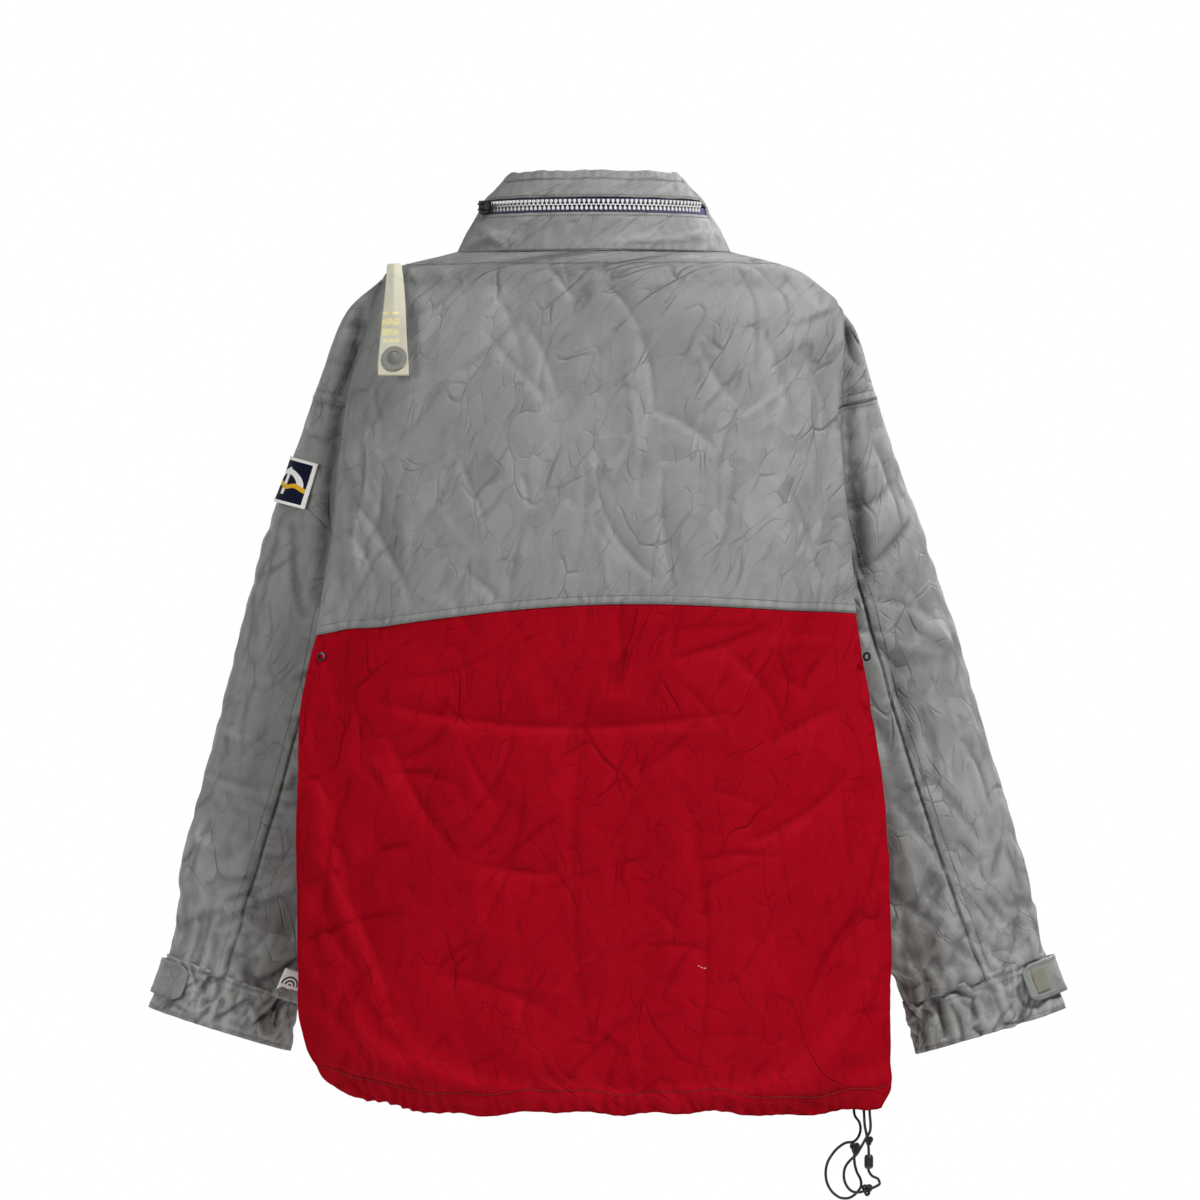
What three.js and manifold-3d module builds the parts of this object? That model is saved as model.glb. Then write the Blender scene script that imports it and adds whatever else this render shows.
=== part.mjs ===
// A hip-length foul weather jacket with a stand collar, hung on a hanger.
// Millimetres, +Z up. The wearer's front faces -Y, the wearer's left is +X.
// Everything is laid out by its height above the hem, and the finished group is
// lowered so that the origin is the hanger seat inside the neck.

import * as THREE from 'three';
import { mergeVertices } from 'three/addons/utils/BufferGeometryUtils.js';
import Module from 'manifold-3d';

const wasm = await Module();
wasm.setup();

// ---------------------------------------------------------------- driving dimensions

const SEAT_HEIGHT = 740; // hanger seat above the hem
const GAP = 0.3; // clearance between pieces that touch
const SHELL = 2.4; // outer fabric with its seam allowance
const FRONT_Y = -62; // the straight centre front

const NECK_SEAM = 757; // collar base seam at the centre back
const COLLAR_TOP = 827;
const COLLAR_SIDE_Y = -5; // side edges of the collar in plan
const CHAIN_HEIGHT = 796; // middle of the collar zip
const CHAIN_HALF = 4.7; // half the width of the meshed collar teeth
const SLOT_HALF = 7; // half the slot between the collar strips

const SEAM_PEAK = 455; // waist seam at its highest point
const SEAM_PEAK_X = -40;
const SEAM_DROP = 28; // how far the waist seam falls at the sides

const ZIP_EDGE = 5.5; // front panel edge from the centre line
const ZIP_BOTTOM = 14;
const TAPE_HALF = 16;
const TOOTH_HALF = 3.1;
const FLAP_BOTTOM = 12;
const FLAP_TOP = 770;

const LINING_INSET = 9;
const FACING_INSET = 13.5;
const HOOD_INSET = 5.6;

const WEDGE_TAN = Math.tan(THREE.MathUtils.degToRad(16)); // room for the sleeve's lift
const FOLD_STATION = 5; // sleeve station at the lift axis
const ARMHOLE_CLEARANCE = 1.2; // between the sleeve head and the body
const SEAM_OFFSET = 10; // sleeve seam from the sleeve's middle line

const STRAP_WIDTH = 27;
const STRAP_X = 174;
const STRAP_THICKNESS = 1.6;
const EYELET_HOLE = 6.75;
const EYELET_OUTER = 11;

const CORD_DIAMETER = 2.4;

// ---------------------------------------------------------------- colours

const SILVER = 0xa9acaa;
const RED = 0xc2101f;
const NAVY = 0x1b2038;
const STEEL = 0xb8b9b4;
const WHITE = 0xe8e6e2;
const BEIGE = 0xb9b2a0;
const OLIVE = 0x8d8c78;
const BLACK = 0x17171a;

// ---------------------------------------------------------------- solids

function toSolid(geometry) {
  const bare = geometry.clone();
  bare.deleteAttribute('normal');
  bare.deleteAttribute('uv');
  const merged = mergeVertices(bare, 1e-4);
  return new wasm.Manifold(new wasm.Mesh({
    numProp: 3,
    vertProperties: Float32Array.from(merged.attributes.position.array),
    triVerts: Uint32Array.from(merged.index.array),
  }));
}

function toGeometry(solid) {
  const mesh = solid.getMesh();
  const geometry = new THREE.BufferGeometry();
  geometry.setAttribute('position', new THREE.BufferAttribute(mesh.vertProperties, 3));
  geometry.setIndex(new THREE.BufferAttribute(mesh.triVerts, 1));
  return geometry;
}

function subtract(geometry, ...cutters) {
  const start = toSolid(geometry);
  return toGeometry(cutters.reduce((rest, cutter) => rest.subtract(toSolid(cutter)), start));
}

function join(geometry, ...others) {
  const start = toSolid(geometry);
  return toGeometry(others.reduce((sum, other) => sum.add(toSolid(other)), start));
}

function block(low, high) {
  const size = high.map((value, axis) => value - low[axis]);
  const middle = high.map((value, axis) => (value + low[axis]) / 2);
  return new THREE.BoxGeometry(...size).translate(...middle);
}

// A curved slab: u runs anticlockwise seen from above, v upwards, w outwards, each 0 to 1.
function slab(columns, rows, place) {
  const geometry = new THREE.BoxGeometry(1, 1, 1, columns, rows, 1);
  const points = geometry.attributes.position;
  for (let i = 0; i < points.count; i += 1) {
    const spot = place(points.getX(i) + 0.5, points.getY(i) + 0.5, points.getZ(i) + 0.5);
    points.setXYZ(i, spot.x, spot.y, spot.z);
  }
  return geometry;
}

// A closed plug: v runs upwards from 0 to 1, phi is the angle, and reach is 0 on its axis.
function plug(sides, rings, place) {
  const geometry = new THREE.CylinderGeometry(1, 1, 1, sides, rings);
  const points = geometry.attributes.position;
  for (let i = 0; i < points.count; i += 1) {
    const x = points.getX(i);
    const z = points.getZ(i);
    const spot = place(points.getY(i) + 0.5, Math.atan2(-z, x), Math.hypot(x, z));
    points.setXYZ(i, spot.x, spot.y, spot.z);
  }
  return geometry;
}

function ringOf(profile, sides) {
  const points = profile.map(([radius, height]) => new THREE.Vector2(radius, height));
  return new THREE.LatheGeometry([...points, points[0].clone()], sides);
}

const lerp = THREE.MathUtils.lerp;
const radians = THREE.MathUtils.degToRad;

// Straight-line value of one key between stations that rise in another key.
function between(stations, by, value, key) {
  let next = stations.findIndex((station) => station[by] >= value);
  if (next < 0) next = stations.length - 1;
  if (next === 0) next = 1;
  const low = stations[next - 1];
  const high = stations[next];
  return lerp(low[key], high[key], (value - low[by]) / (high[by] - low[by]));
}

// ---------------------------------------------------------------- body

// half: half width; side: y of the side fold; back: y of the centre back;
// backPower and frontPower: how square the plan is, 2 being the roundest.
const BODY = [
  { height: 0, half: 236, side: 20, back: 66, backPower: 2.6, frontPower: 1.5 },
  { height: 22, half: 248, side: 20, back: 70, backPower: 2.6, frontPower: 1.5 },
  { height: 110, half: 258, side: 20, back: 72, backPower: 2.6, frontPower: 1.5 },
  { height: 300, half: 260, side: 20, back: 74, backPower: 2.6, frontPower: 1.5 },
  { height: 362, half: 256, side: 20, back: 75, backPower: 2.6, frontPower: 1.5 },
  { height: 428, half: 239, side: 19, back: 76, backPower: 2.6, frontPower: 1.5 },
  { height: 500, half: 228, side: 17, back: 76, backPower: 2.6, frontPower: 1.5 },
  { height: 590, half: 218, side: 12, back: 73, backPower: 2.5, frontPower: 1.5 },
  { height: 631, half: 247, side: 9, back: 71, backPower: 2.5, frontPower: 1.6 },
  { height: 670, half: 234, side: 6, back: 68, backPower: 2.4, frontPower: 1.7 },
  { height: 706, half: 219, side: 3, back: 65, backPower: 2.4, frontPower: 1.8 },
  { height: 741, half: 176, side: -1, back: 62, backPower: 2.2, frontPower: 1.9 },
  { height: 758, half: 121, side: -5, back: 60, backPower: 2, frontPower: 2 },
];

function bodyPoint(phi, height, inset) {
  const at = (key) => between(BODY, 'height', height, key);
  const across = Math.cos(phi);
  const isBack = Math.sin(phi) >= 0;
  const power = isBack ? at('backPower') : at('frontPower');
  const reach = isBack ? at('back') - at('side') - inset : FRONT_Y - at('side') + inset;
  const x = (at('half') - inset) * across;
  const y = at('side') + reach * (1 - Math.abs(across) ** power);
  return new THREE.Vector3(x, y, height);
}

const UPPER_LEVELS = [500, 545, 590, 631, 670, 706, 741];
const LOWER_LEVELS = [22, 110, 205, 300, 362];

function waistSeam(x) {
  return SEAM_PEAK - SEAM_DROP * ((x - SEAM_PEAK_X) / BODY[4].half) ** 2;
}

function phiAtX(x, height, front) {
  const half = between(BODY, 'height', height, 'half');
  const angle = Math.acos(THREE.MathUtils.clamp(x / half, -1, 1));
  return front ? 2 * Math.PI - angle : angle;
}

// A panel of the body between two angles, from bottom(x) to top(x), at an inset.
// levels are the heights of its rows in between.
function bodyPanel({ from, to, bottom, top, levels, columns, inset = 0, thickness = SHELL }) {
  const rows = levels.length + 1;
  return slab(columns, rows, (u, v, w) => {
    const middle = bodyPoint(lerp(from(SEAM_PEAK), to(SEAM_PEAK), u), SEAM_PEAK, inset);
    const heights = [bottom(middle.x), ...levels, top(middle.x)];
    const height = heights[Math.round(v * rows)];
    const phi = lerp(from(height), to(height), u);
    return bodyPoint(phi, height, inset + thickness * (1 - w));
  });
}

const SIDE_GAP = radians(0.4);
const backFrom = () => SIDE_GAP;
const backTo = () => Math.PI - SIDE_GAP;
const leftFrom = (edge) => (height) => phiAtX(edge, height, true);
const leftTo = () => 2 * Math.PI - SIDE_GAP;
const rightFrom = () => Math.PI + SIDE_GAP;
const rightTo = (edge) => (height) => phiAtX(-edge, height, true);

// ---------------------------------------------------------------- sleeves

// x, y, height: middle of the sleeve; half: half width across; deep: half depth.
// Station 0 is the cuff's bottom edge, 1 the cuff seam, and the last lies in the body.
const LEFT_SLEEVE = [
  { at: 0, x: 333, y: -60, height: 70, half: 64, deep: 29 },
  { at: 1, x: 319, y: -61, height: 114, half: 62, deep: 30 },
  { at: 2, x: 303, y: -63, height: 160, half: 68, deep: 33 },
  { at: 3, x: 290, y: -64, height: 213, half: 76, deep: 36 },
  { at: 4, x: 258, y: -64, height: 336, half: 79, deep: 38 },
  { at: 5, x: 222, y: -52, height: 480, half: 78, deep: 44 },
  { at: 6, x: 205, y: -32, height: 560, half: 74, deep: 50 },
  { at: 7, x: 188, y: -8, height: 632, half: 64, deep: 44 },
  { at: 8, x: 160, y: 4, height: 690, half: 40, deep: 24 },
];

const RIGHT_SLEEVE = [
  { at: 0, x: -352, y: -60, height: 68, half: 68, deep: 29 },
  { at: 1, x: -337, y: -61, height: 114, half: 66, deep: 30 },
  { at: 2, x: -320, y: -63, height: 160, half: 72, deep: 33 },
  { at: 3, x: -303, y: -64, height: 213, half: 78, deep: 36 },
  { at: 4, x: -266, y: -64, height: 336, half: 80, deep: 38 },
  { at: 5, x: -224, y: -52, height: 480, half: 78, deep: 44 },
  { at: 6, x: -206, y: -32, height: 560, half: 74, deep: 50 },
  { at: 7, x: -188, y: -8, height: 632, half: 64, deep: 44 },
  { at: 8, x: -160, y: 4, height: 690, half: 40, deep: 24 },
];

const SIDES = [
  { name: 'left', sign: 1, sleeve: LEFT_SLEEVE, tabBulge: 0 },
  { name: 'right', sign: -1, sleeve: RIGHT_SLEEVE, tabBulge: 8 },
];

function sleeveSlope(sleeve, at) {
  const rise = (station) => {
    const low = sleeve[Math.max(station - 1, 0)];
    const high = sleeve[Math.min(station + 1, sleeve.length - 1)];
    return Math.atan2(low.x - high.x, high.height - low.height);
  };
  const low = THREE.MathUtils.clamp(Math.floor(at), 0, sleeve.length - 2);
  return lerp(rise(low), rise(low + 1), at - low);
}

function sleevePoint(sleeve, phi, at, inset) {
  const value = (key) => between(sleeve, 'at', at, key);
  const lean = sleeveSlope(sleeve, at);
  const across = (value('half') - inset) * Math.cos(phi);
  return new THREE.Vector3(
    value('x') + across * Math.cos(lean),
    value('y') + (value('deep') - inset) * Math.sin(phi),
    value('height') + across * Math.sin(lean),
  );
}

// How far, in stations, the lift wedge takes the sleeve back at an angle.
function wedge(side, phi) {
  const out = Math.max(0, side.sign * Math.cos(phi));
  const length = side.sleeve[FOLD_STATION + 1].height - side.sleeve[FOLD_STATION].height;
  return (side.sleeve[FOLD_STATION].half * out * WEDGE_TAN) / length;
}

function sleeveSolid(side, inset, from, to, sides = 20) {
  const rings = Math.max(1, Math.ceil(to - from(0)));
  return plug(sides, rings, (v, phi, reach) => {
    const at = lerp(from(phi), to, v);
    const rim = sleevePoint(side.sleeve, phi, at, inset);
    const middle = sleevePoint(side.sleeve, Math.PI / 2, at, inset);
    middle.y = between(side.sleeve, 'at', at, 'y');
    return middle.lerp(rim, reach);
  });
}

function sleeveHead(side) {
  const start = (phi) => FOLD_STATION + 0.01 + wedge(side, phi);
  const top = side.sleeve.length - 1;
  const outer = sleeveSolid(side, 0, start, top);
  const hollow = sleeveSolid(side, SHELL, () => FOLD_STATION - 0.2, top + 0.2);
  const body = plug(40, BODY.length - 1, (v, phi, reach) => {
    const height = BODY[Math.round(v * (BODY.length - 1))].height;
    const rim = bodyPoint(phi, height, -ARMHOLE_CLEARANCE);
    return new THREE.Vector3(0, between(BODY, 'height', height, 'side'), height).lerp(rim, reach);
  });
  return subtract(outer, hollow, body);
}

function armhole(side) {
  return sleeveSolid(side, -GAP, () => FOLD_STATION - 0.05, side.sleeve.length - 1);
}

function sleevePanel(side, middle, halfAngle) {
  const start = 1.01;
  return slab(10, 7, (u, v, w) => {
    const phi = lerp(middle - halfAngle, middle + halfAngle, u);
    const at = lerp(start, FOLD_STATION - 0.01 - wedge(side, phi), v);
    return sleevePoint(side.sleeve, phi, at, SHELL * (1 - w));
  });
}

function cuff(side) {
  const outer = sleeveSolid(side, 0, () => 0, 0.99, 24);
  const hollow = sleeveSolid(side, SHELL, () => -0.1, 1.1, 24);
  return subtract(outer, hollow);
}

// A patch on a sleeve between two angles (degrees from its outer edge towards the back).
function sleevePatch(side, angles, span, layer, bulge = 0) {
  const [start, end] = side.sign > 0 ? angles : [180 - angles[1], 180 - angles[0]];
  return slab(8, 2, (u, v, w) => {
    const phi = radians(lerp(start, end, u));
    const lift = bulge * Math.max(0, side.sign * Math.cos(phi)) ** 2;
    const outset = lerp(layer[0], layer[1], w) + lift;
    return sleevePoint(side.sleeve, phi, lerp(span[0], span[1], v), -outset);
  });
}

// ---------------------------------------------------------------- collar

const COLLAR = [
  { height: NECK_SEAM, half: 121, back: 60 },
  { height: 770, half: 114, back: 58 },
  { height: 789, half: 103, back: 56 },
  { height: 796, half: 100, back: 55 },
  { height: 803, half: 96, back: 53 },
  { height: 815, half: 84, back: 47 },
  { height: COLLAR_TOP, half: 73, back: 40 },
];

function arcY(x, half, rise) {
  const radius = (half * half + rise * rise) / (2 * rise);
  return rise - radius + Math.sqrt(Math.max(radius * radius - x * x, 0));
}

function collarPoint(phi, height, inset) {
  const at = (key) => between(COLLAR, 'height', height, key);
  const half = at('half') - inset;
  const x = half * Math.cos(phi);
  const isBack = Math.sin(phi) >= 0;
  const rise = isBack ? at('back') - COLLAR_SIDE_Y - inset : COLLAR_SIDE_Y - FRONT_Y - inset;
  const y = COLLAR_SIDE_Y + (isBack ? 1 : -1) * arcY(x, half, rise);
  return new THREE.Vector3(x, y, height);
}

// A collar band between two heights and two insets, open at the centre front.
function collarBand({ low, high, inset, thickness, opening, rows = 1, columns = 26 }) {
  return slab(columns, rows, (u, v, w) => {
    const height = lerp(low, high, v);
    const slack = Math.asin(opening / between(COLLAR, 'height', height, 'half'));
    const phi = lerp(-Math.PI / 2 + slack, (3 * Math.PI) / 2 - slack, u);
    return collarPoint(phi, height, inset + thickness * (1 - w));
  });
}

// A strip along the back of the collar only, between its side edges.
function collarBackStrip({ low, high, inset, thickness, endAngle, rows = 1 }) {
  return slab(20, rows, (u, v, w) => {
    const phi = lerp(endAngle, Math.PI - endAngle, u);
    return collarPoint(phi, lerp(low, high, v), inset + thickness * (1 - w));
  });
}

const ARC_RISE = COLLAR[3].back - COLLAR_SIDE_Y;
const ARC_RADIUS = (COLLAR[3].half ** 2 + ARC_RISE ** 2) / (2 * ARC_RISE);
const ARC_CENTRE_Y = COLLAR[3].back - ARC_RADIUS;
const ZIP_END_ANGLE = radians(12);

// ---------------------------------------------------------------- zip hardware

// A saddle that rides on a closed chain along Z, its face towards -Y, with two ears.
function sliderSaddle() {
  const plate = block([-5.6, -4.4, -7], [5.6, -0.4, 7]);
  const tongue = block([-2.6, -1, -6], [2.6, 0.7, 6]);
  const ears = [-1, 1].map((sign) => block(
    [sign * 2.4 - 0.8, -8, -1.5],
    [sign * 2.4 + 0.8, -4, 3.5],
  ));
  return join(plate, tongue, ...ears);
}

// A pull that hangs down -Z from its turning axis at its own origin.
function pullTab(length) {
  const outline = new THREE.Shape();
  outline.absarc(0, 0, 1.2, 0, Math.PI, false);
  outline.lineTo(-1.2, -6);
  outline.lineTo(-3.2, -9);
  outline.lineTo(-2.6, -length);
  outline.lineTo(2.6, -length);
  outline.lineTo(3.2, -9);
  outline.lineTo(1.2, -6);
  outline.closePath();
  const plate = new THREE.ExtrudeGeometry(outline, {
    depth: 1.4, bevelEnabled: false, curveSegments: 6,
  });
  return plate.rotateX(Math.PI / 2).translate(0, 0.7, 0);
}

// ---------------------------------------------------------------- cords

function cordTube(points, steps) {
  const section = new THREE.Shape();
  const sides = 8;
  for (let i = 0; i < sides; i += 1) {
    const angle = (2 * Math.PI * i) / sides;
    const x = (CORD_DIAMETER / 2) * Math.cos(angle);
    const y = (CORD_DIAMETER / 2) * Math.sin(angle);
    if (i === 0) section.moveTo(x, y);
    else section.lineTo(x, y);
  }
  section.closePath();
  const route = new THREE.CatmullRomCurve3(points.map((point) => new THREE.Vector3(...point)));
  return new THREE.ExtrudeGeometry(section, { steps, extrudePath: route });
}

// The first end comes out of the hem, makes the wide loop and is knotted to itself.
const WIDE_LOOP = [
  [-229, 16, -2], [-233, 16, -8], [-234, 15.5, -14], [-232.5, 15, -20], [-228, 14, -25],
  [-221.5, 13, -26], [-215, 12.5, -30], [-209.5, 12, -36], [-205, 12, -44], [-203.5, 12, -53],
  [-205, 12, -62], [-210, 12, -70], [-217, 12.5, -74.5], [-224, 13, -74.5], [-230.5, 14, -70],
  [-234.5, 15, -64], [-234, 15.5, -58], [-231, 15.5, -52], [-229, 15.5, -45], [-228.5, 16, -38],
  [-229, 17, -32.5],
];

// The second leaves the hem, runs through the stopper, makes a small and a long loop
// and goes back into the hem.
const LONG_LOOP = [
  [-237, 22, -2], [-237.5, 22, -10], [-239, 22, -18], [-240.5, 22, -26], [-241, 22, -34],
  [-241, 22, -42], [-241, 22, -50], [-244, 22.5, -54.5], [-249, 23, -57], [-250.5, 24, -61],
  [-246, 25, -64], [-240, 26, -66], [-233, 26, -68.5], [-226, 26, -67.5], [-221, 26, -62],
  [-219, 26, -54], [-220.5, 26, -46], [-225, 26, -40], [-230, 26, -35.5], [-234, 26, -29],
  [-238, 25.5, -22], [-242, 24.5, -15], [-242.5, 23, -8], [-242, 22, -2],
];

// The run that lies in the hem goes round the body from one side of the zip to the other.
function hemRun() {
  const count = 36;
  const slack = radians(6);
  const points = [];
  for (let i = 0; i <= count; i += 1) {
    const phi = lerp(slack - Math.PI / 2, (3 * Math.PI) / 2 - slack, i / count);
    points.push(bodyPoint(phi, 22, SHELL + 3.2).toArray());
  }
  return points;
}

// ---------------------------------------------------------------- assembly

const jacket = new THREE.Group();
const garment = new THREE.Group();
garment.position.z = -SEAT_HEIGHT;
jacket.add(garment);

function addPiece(name, geometry, color, roughness = 0.75, metalness = 0, parent = garment) {
  const material = new THREE.MeshStandardMaterial({ color, roughness, metalness });
  const mesh = new THREE.Mesh(geometry, material);
  mesh.name = name;
  parent.add(mesh);
  return mesh;
}

function addBody() {
  const armholes = SIDES.map(armhole);
  const below = (x) => waistSeam(x) - GAP / 2;
  const above = (x) => waistSeam(x) + GAP / 2;
  const hem = () => 0;
  const neck = () => NECK_SEAM - GAP;
  const back = { from: backFrom, to: backTo, columns: 18 };
  const left = { from: leftFrom(ZIP_EDGE), to: leftTo, columns: 10 };
  const right = { from: rightFrom, to: rightTo(ZIP_EDGE), columns: 10 };
  const yoke = (span) => subtract(
    bodyPanel({ ...span, bottom: above, top: neck, levels: UPPER_LEVELS }),
    ...armholes,
  );
  addPiece('back_yoke', yoke(back), SILVER);
  addPiece('front_yoke_left', yoke(left), SILVER);
  addPiece('front_yoke_right', yoke(right), SILVER);
  addPiece('back_lower', bodyPanel({ ...back, bottom: hem, top: below, levels: LOWER_LEVELS }), RED);
  addPiece('front_lower_left', bodyPanel({ ...left, bottom: hem, top: below, levels: LOWER_LEVELS }), RED);
  addPiece('front_lower_right', bodyPanel({ ...right, bottom: hem, top: below, levels: LOWER_LEVELS }), RED);

  const wrap = (edge) => ({
    from: (height) => phiAtX(edge, height, true) - 2 * Math.PI,
    to: (height) => phiAtX(-edge, height, true),
  });
  const liningTop = () => 738;
  const lining = bodyPanel({
    ...wrap(TAPE_HALF + 4), bottom: () => 34, top: liningTop,
    inset: LINING_INSET, thickness: 1.2, columns: 26,
    levels: [...LOWER_LEVELS.slice(1), 428, ...UPPER_LEVELS.slice(0, -1)],
  });
  addPiece('body_lining', subtract(lining, ...armholes), WHITE, 0.9);
  addPiece('hem_casing', bodyPanel({
    ...wrap(ZIP_EDGE + 3), bottom: () => 3, top: () => 27,
    inset: SHELL + 15, thickness: 1.2, columns: 28, levels: [22],
  }), RED);
}

function addSleeves() {
  const halfAngle = Math.acos(SEAM_OFFSET / 74);
  const slit = radians(0.5);
  for (const side of SIDES) {
    const outside = side.sign > 0 ? 0 : Math.PI;
    addPiece(`sleeve_head_${side.name}`, sleeveHead(side), SILVER);
    addPiece(`sleeve_outer_${side.name}`, sleevePanel(side, outside, halfAngle), SILVER);
    addPiece(
      `sleeve_inner_${side.name}`,
      sleevePanel(side, Math.PI - outside, Math.PI - halfAngle - slit),
      SILVER,
    );
    addPiece(`cuff_${side.name}`, cuff(side), SILVER);
    const tab = side.tabBulge > 0 ? [0.6, 2.2] : [3.2, 4.8];
    const hooks = side.tabBulge > 0 ? [2.9, 4.1] : [0.6, 1.8];
    const hookSpan = side.tabBulge > 0 ? [22, 48] : [-30, 12];
    addPiece(
      `cuff_tab_${side.name}`,
      sleevePatch(side, [-62, 52], [0.3, 0.95], tab, side.tabBulge),
      SILVER,
    );
    addPiece(
      `cuff_hook_patch_${side.name}`,
      sleevePatch(side, hookSpan, [0.38, 0.87], hooks, side.tabBulge),
      OLIVE,
      0.95,
    );
  }
  const left = SIDES[0];
  addPiece('cuff_label', sleevePatch(left, [128, 160], [1.03, 1.5], [0.4, 1.2]), WHITE, 0.8);
  addPiece('sleeve_badge', sleevePatch(left, [-16, 50], [5.95, 6.5], [0.4, 1.6]), NAVY, 0.85);
}

function addCollar() {
  const strip = { inset: 0, thickness: SHELL, opening: ZIP_EDGE };
  const low = CHAIN_HEIGHT - SLOT_HALF;
  const high = CHAIN_HEIGHT + SLOT_HALF;
  addPiece('collar_lower', collarBand({ ...strip, low: NECK_SEAM, high: low, rows: 2 }), SILVER);
  addPiece('collar_upper', collarBand({ ...strip, low: high, high: COLLAR_TOP, rows: 2 }), SILVER);
  addPiece('collar_facing', collarBand({
    low: NECK_SEAM + 2, high: COLLAR_TOP - 3, inset: FACING_INSET, thickness: 1.4,
    opening: TAPE_HALF + 2, rows: 3,
  }), SILVER);
  addPiece('stowed_hood', collarBackStrip({
    low: 768, high: COLLAR_TOP - 4, inset: HOOD_INSET, thickness: 6.6, endAngle: radians(14), rows: 3,
  }), SILVER);
  const tape = { inset: SHELL + 1, thickness: 1, endAngle: ZIP_END_ANGLE };
  addPiece('collar_zip_tape_lower', collarBackStrip({
    ...tape, low: low - 6, high: CHAIN_HEIGHT - CHAIN_HALF - GAP,
  }), NAVY);
  addPiece('collar_zip_tape_upper', collarBackStrip({
    ...tape, low: CHAIN_HEIGHT + CHAIN_HALF + GAP, high: high + 6,
  }), NAVY);
  const teeth = { inset: -0.4, thickness: 3.9, endAngle: ZIP_END_ANGLE };
  addPiece('collar_zip_teeth_lower', collarBackStrip({
    ...teeth, low: CHAIN_HEIGHT - CHAIN_HALF, high: CHAIN_HEIGHT - GAP / 2,
  }), STEEL, 0.5);
  addPiece('collar_zip_teeth_upper', collarBackStrip({
    ...teeth, low: CHAIN_HEIGHT + GAP / 2, high: CHAIN_HEIGHT + CHAIN_HALF,
  }), STEEL, 0.5);
}

// The collar slider is turned so that its saddle faces outwards and its length lies
// along the chain, and it stands at the wearer's left end of the chain.
function addCollarSlider() {
  const turn = new THREE.Group();
  const endX = COLLAR[3].half * Math.cos(ZIP_END_ANGLE);
  const park = Math.atan2(
    collarPoint(ZIP_END_ANGLE, CHAIN_HEIGHT, 0).y - ARC_CENTRE_Y,
    endX,
  ) + radians(5);
  turn.position.set(0, ARC_CENTRE_Y, CHAIN_HEIGHT);
  turn.rotation.z = park - Math.PI / 2;
  garment.add(turn);
  const saddle = new THREE.Group();
  saddle.position.set(0, ARC_RADIUS + 1.6, 0);
  saddle.rotation.set(0, Math.PI / 2, Math.PI);
  turn.add(saddle);
  const shape = subtract(sliderSaddle(), block([-2.7, -1.2, -6.1], [2.7, 0.8, 6.1]));
  addPiece('collar_zip_slider', shape, STEEL, 0.4, 0.7, saddle);
  const pull = new THREE.Group();
  pull.position.set(0, -6.6, 1);
  saddle.add(pull);
  addPiece('collar_zip_pull', pullTab(14), STEEL, 0.4, 0.7, pull);
}

function addFrontZip() {
  const top = COLLAR_TOP - 8;
  for (const side of SIDES) {
    const low = (near, far) => Math.min(side.sign * near, side.sign * far);
    const high = (near, far) => Math.max(side.sign * near, side.sign * far);
    const tapeY = FRONT_Y + SHELL + 2.2;
    addPiece(`front_zip_tape_${side.name}`, block(
      [low(TOOTH_HALF + GAP, TAPE_HALF), tapeY, ZIP_BOTTOM],
      [high(TOOTH_HALF + GAP, TAPE_HALF), tapeY + 1, top],
    ), NAVY);
    addPiece(`front_zip_teeth_${side.name}`, block(
      [low(0.15, TOOTH_HALF), FRONT_Y + 0.8, ZIP_BOTTOM],
      [high(0.15, TOOTH_HALF), FRONT_Y + 6.2, top],
    ), STEEL, 0.5);
  }
  const slider = new THREE.Group();
  slider.position.set(0, FRONT_Y, top - 14);
  garment.add(slider);
  addPiece('front_zip_slider', sliderSaddle(), STEEL, 0.4, 0.7, slider);
  const pull = new THREE.Group();
  pull.position.set(0, -6.6, 1);
  slider.add(pull);
  addPiece('front_zip_pull', pullTab(30), STEEL, 0.4, 0.7, pull);
}

// The flap springs from the left front, arches over the zip and lies on the right front.
function addStormFlap() {
  const outline = new THREE.Shape();
  outline.moveTo(28, -61.6);
  outline.lineTo(20, -71.6);
  outline.lineTo(-11, -72.4);
  outline.lineTo(-16, -67.2);
  outline.lineTo(-31, -66.2);
  outline.lineTo(-31, -68.2);
  outline.lineTo(-17, -69.2);
  outline.lineTo(-12, -74.4);
  outline.lineTo(21, -73.6);
  outline.lineTo(30, -62.2);
  outline.closePath();
  const flap = new THREE.ExtrudeGeometry(outline, {
    depth: FLAP_TOP - FLAP_BOTTOM, steps: 6, bevelEnabled: false,
  }).translate(0, 0, FLAP_BOTTOM);
  addPiece('storm_flap', flap, RED);
  addPiece('storm_flap_hook_strip', block([-29, -65.8, 120], [-18, -64.4, 700]), BLACK, 0.95);
  addPiece('storm_flap_loop_strip', block([-29, -64, 120], [-18, -62.6, 700]), BLACK, 0.95);
  for (const [place, height] of [['top', 735], ['bottom', 60]]) {
    const disc = (radius, depth) => new THREE.CylinderGeometry(radius, radius, depth, 16);
    const cap = disc(6, 1.8).translate(-24.6, -70.1, height);
    const stud = disc(4, 1.6).translate(-24.6, -62.9, height);
    addPiece(`snap_cap_${place}`, cap, STEEL, 0.35, 0.8);
    addPiece(`snap_stud_${place}`, stud, STEEL, 0.35, 0.8);
  }
}

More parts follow.
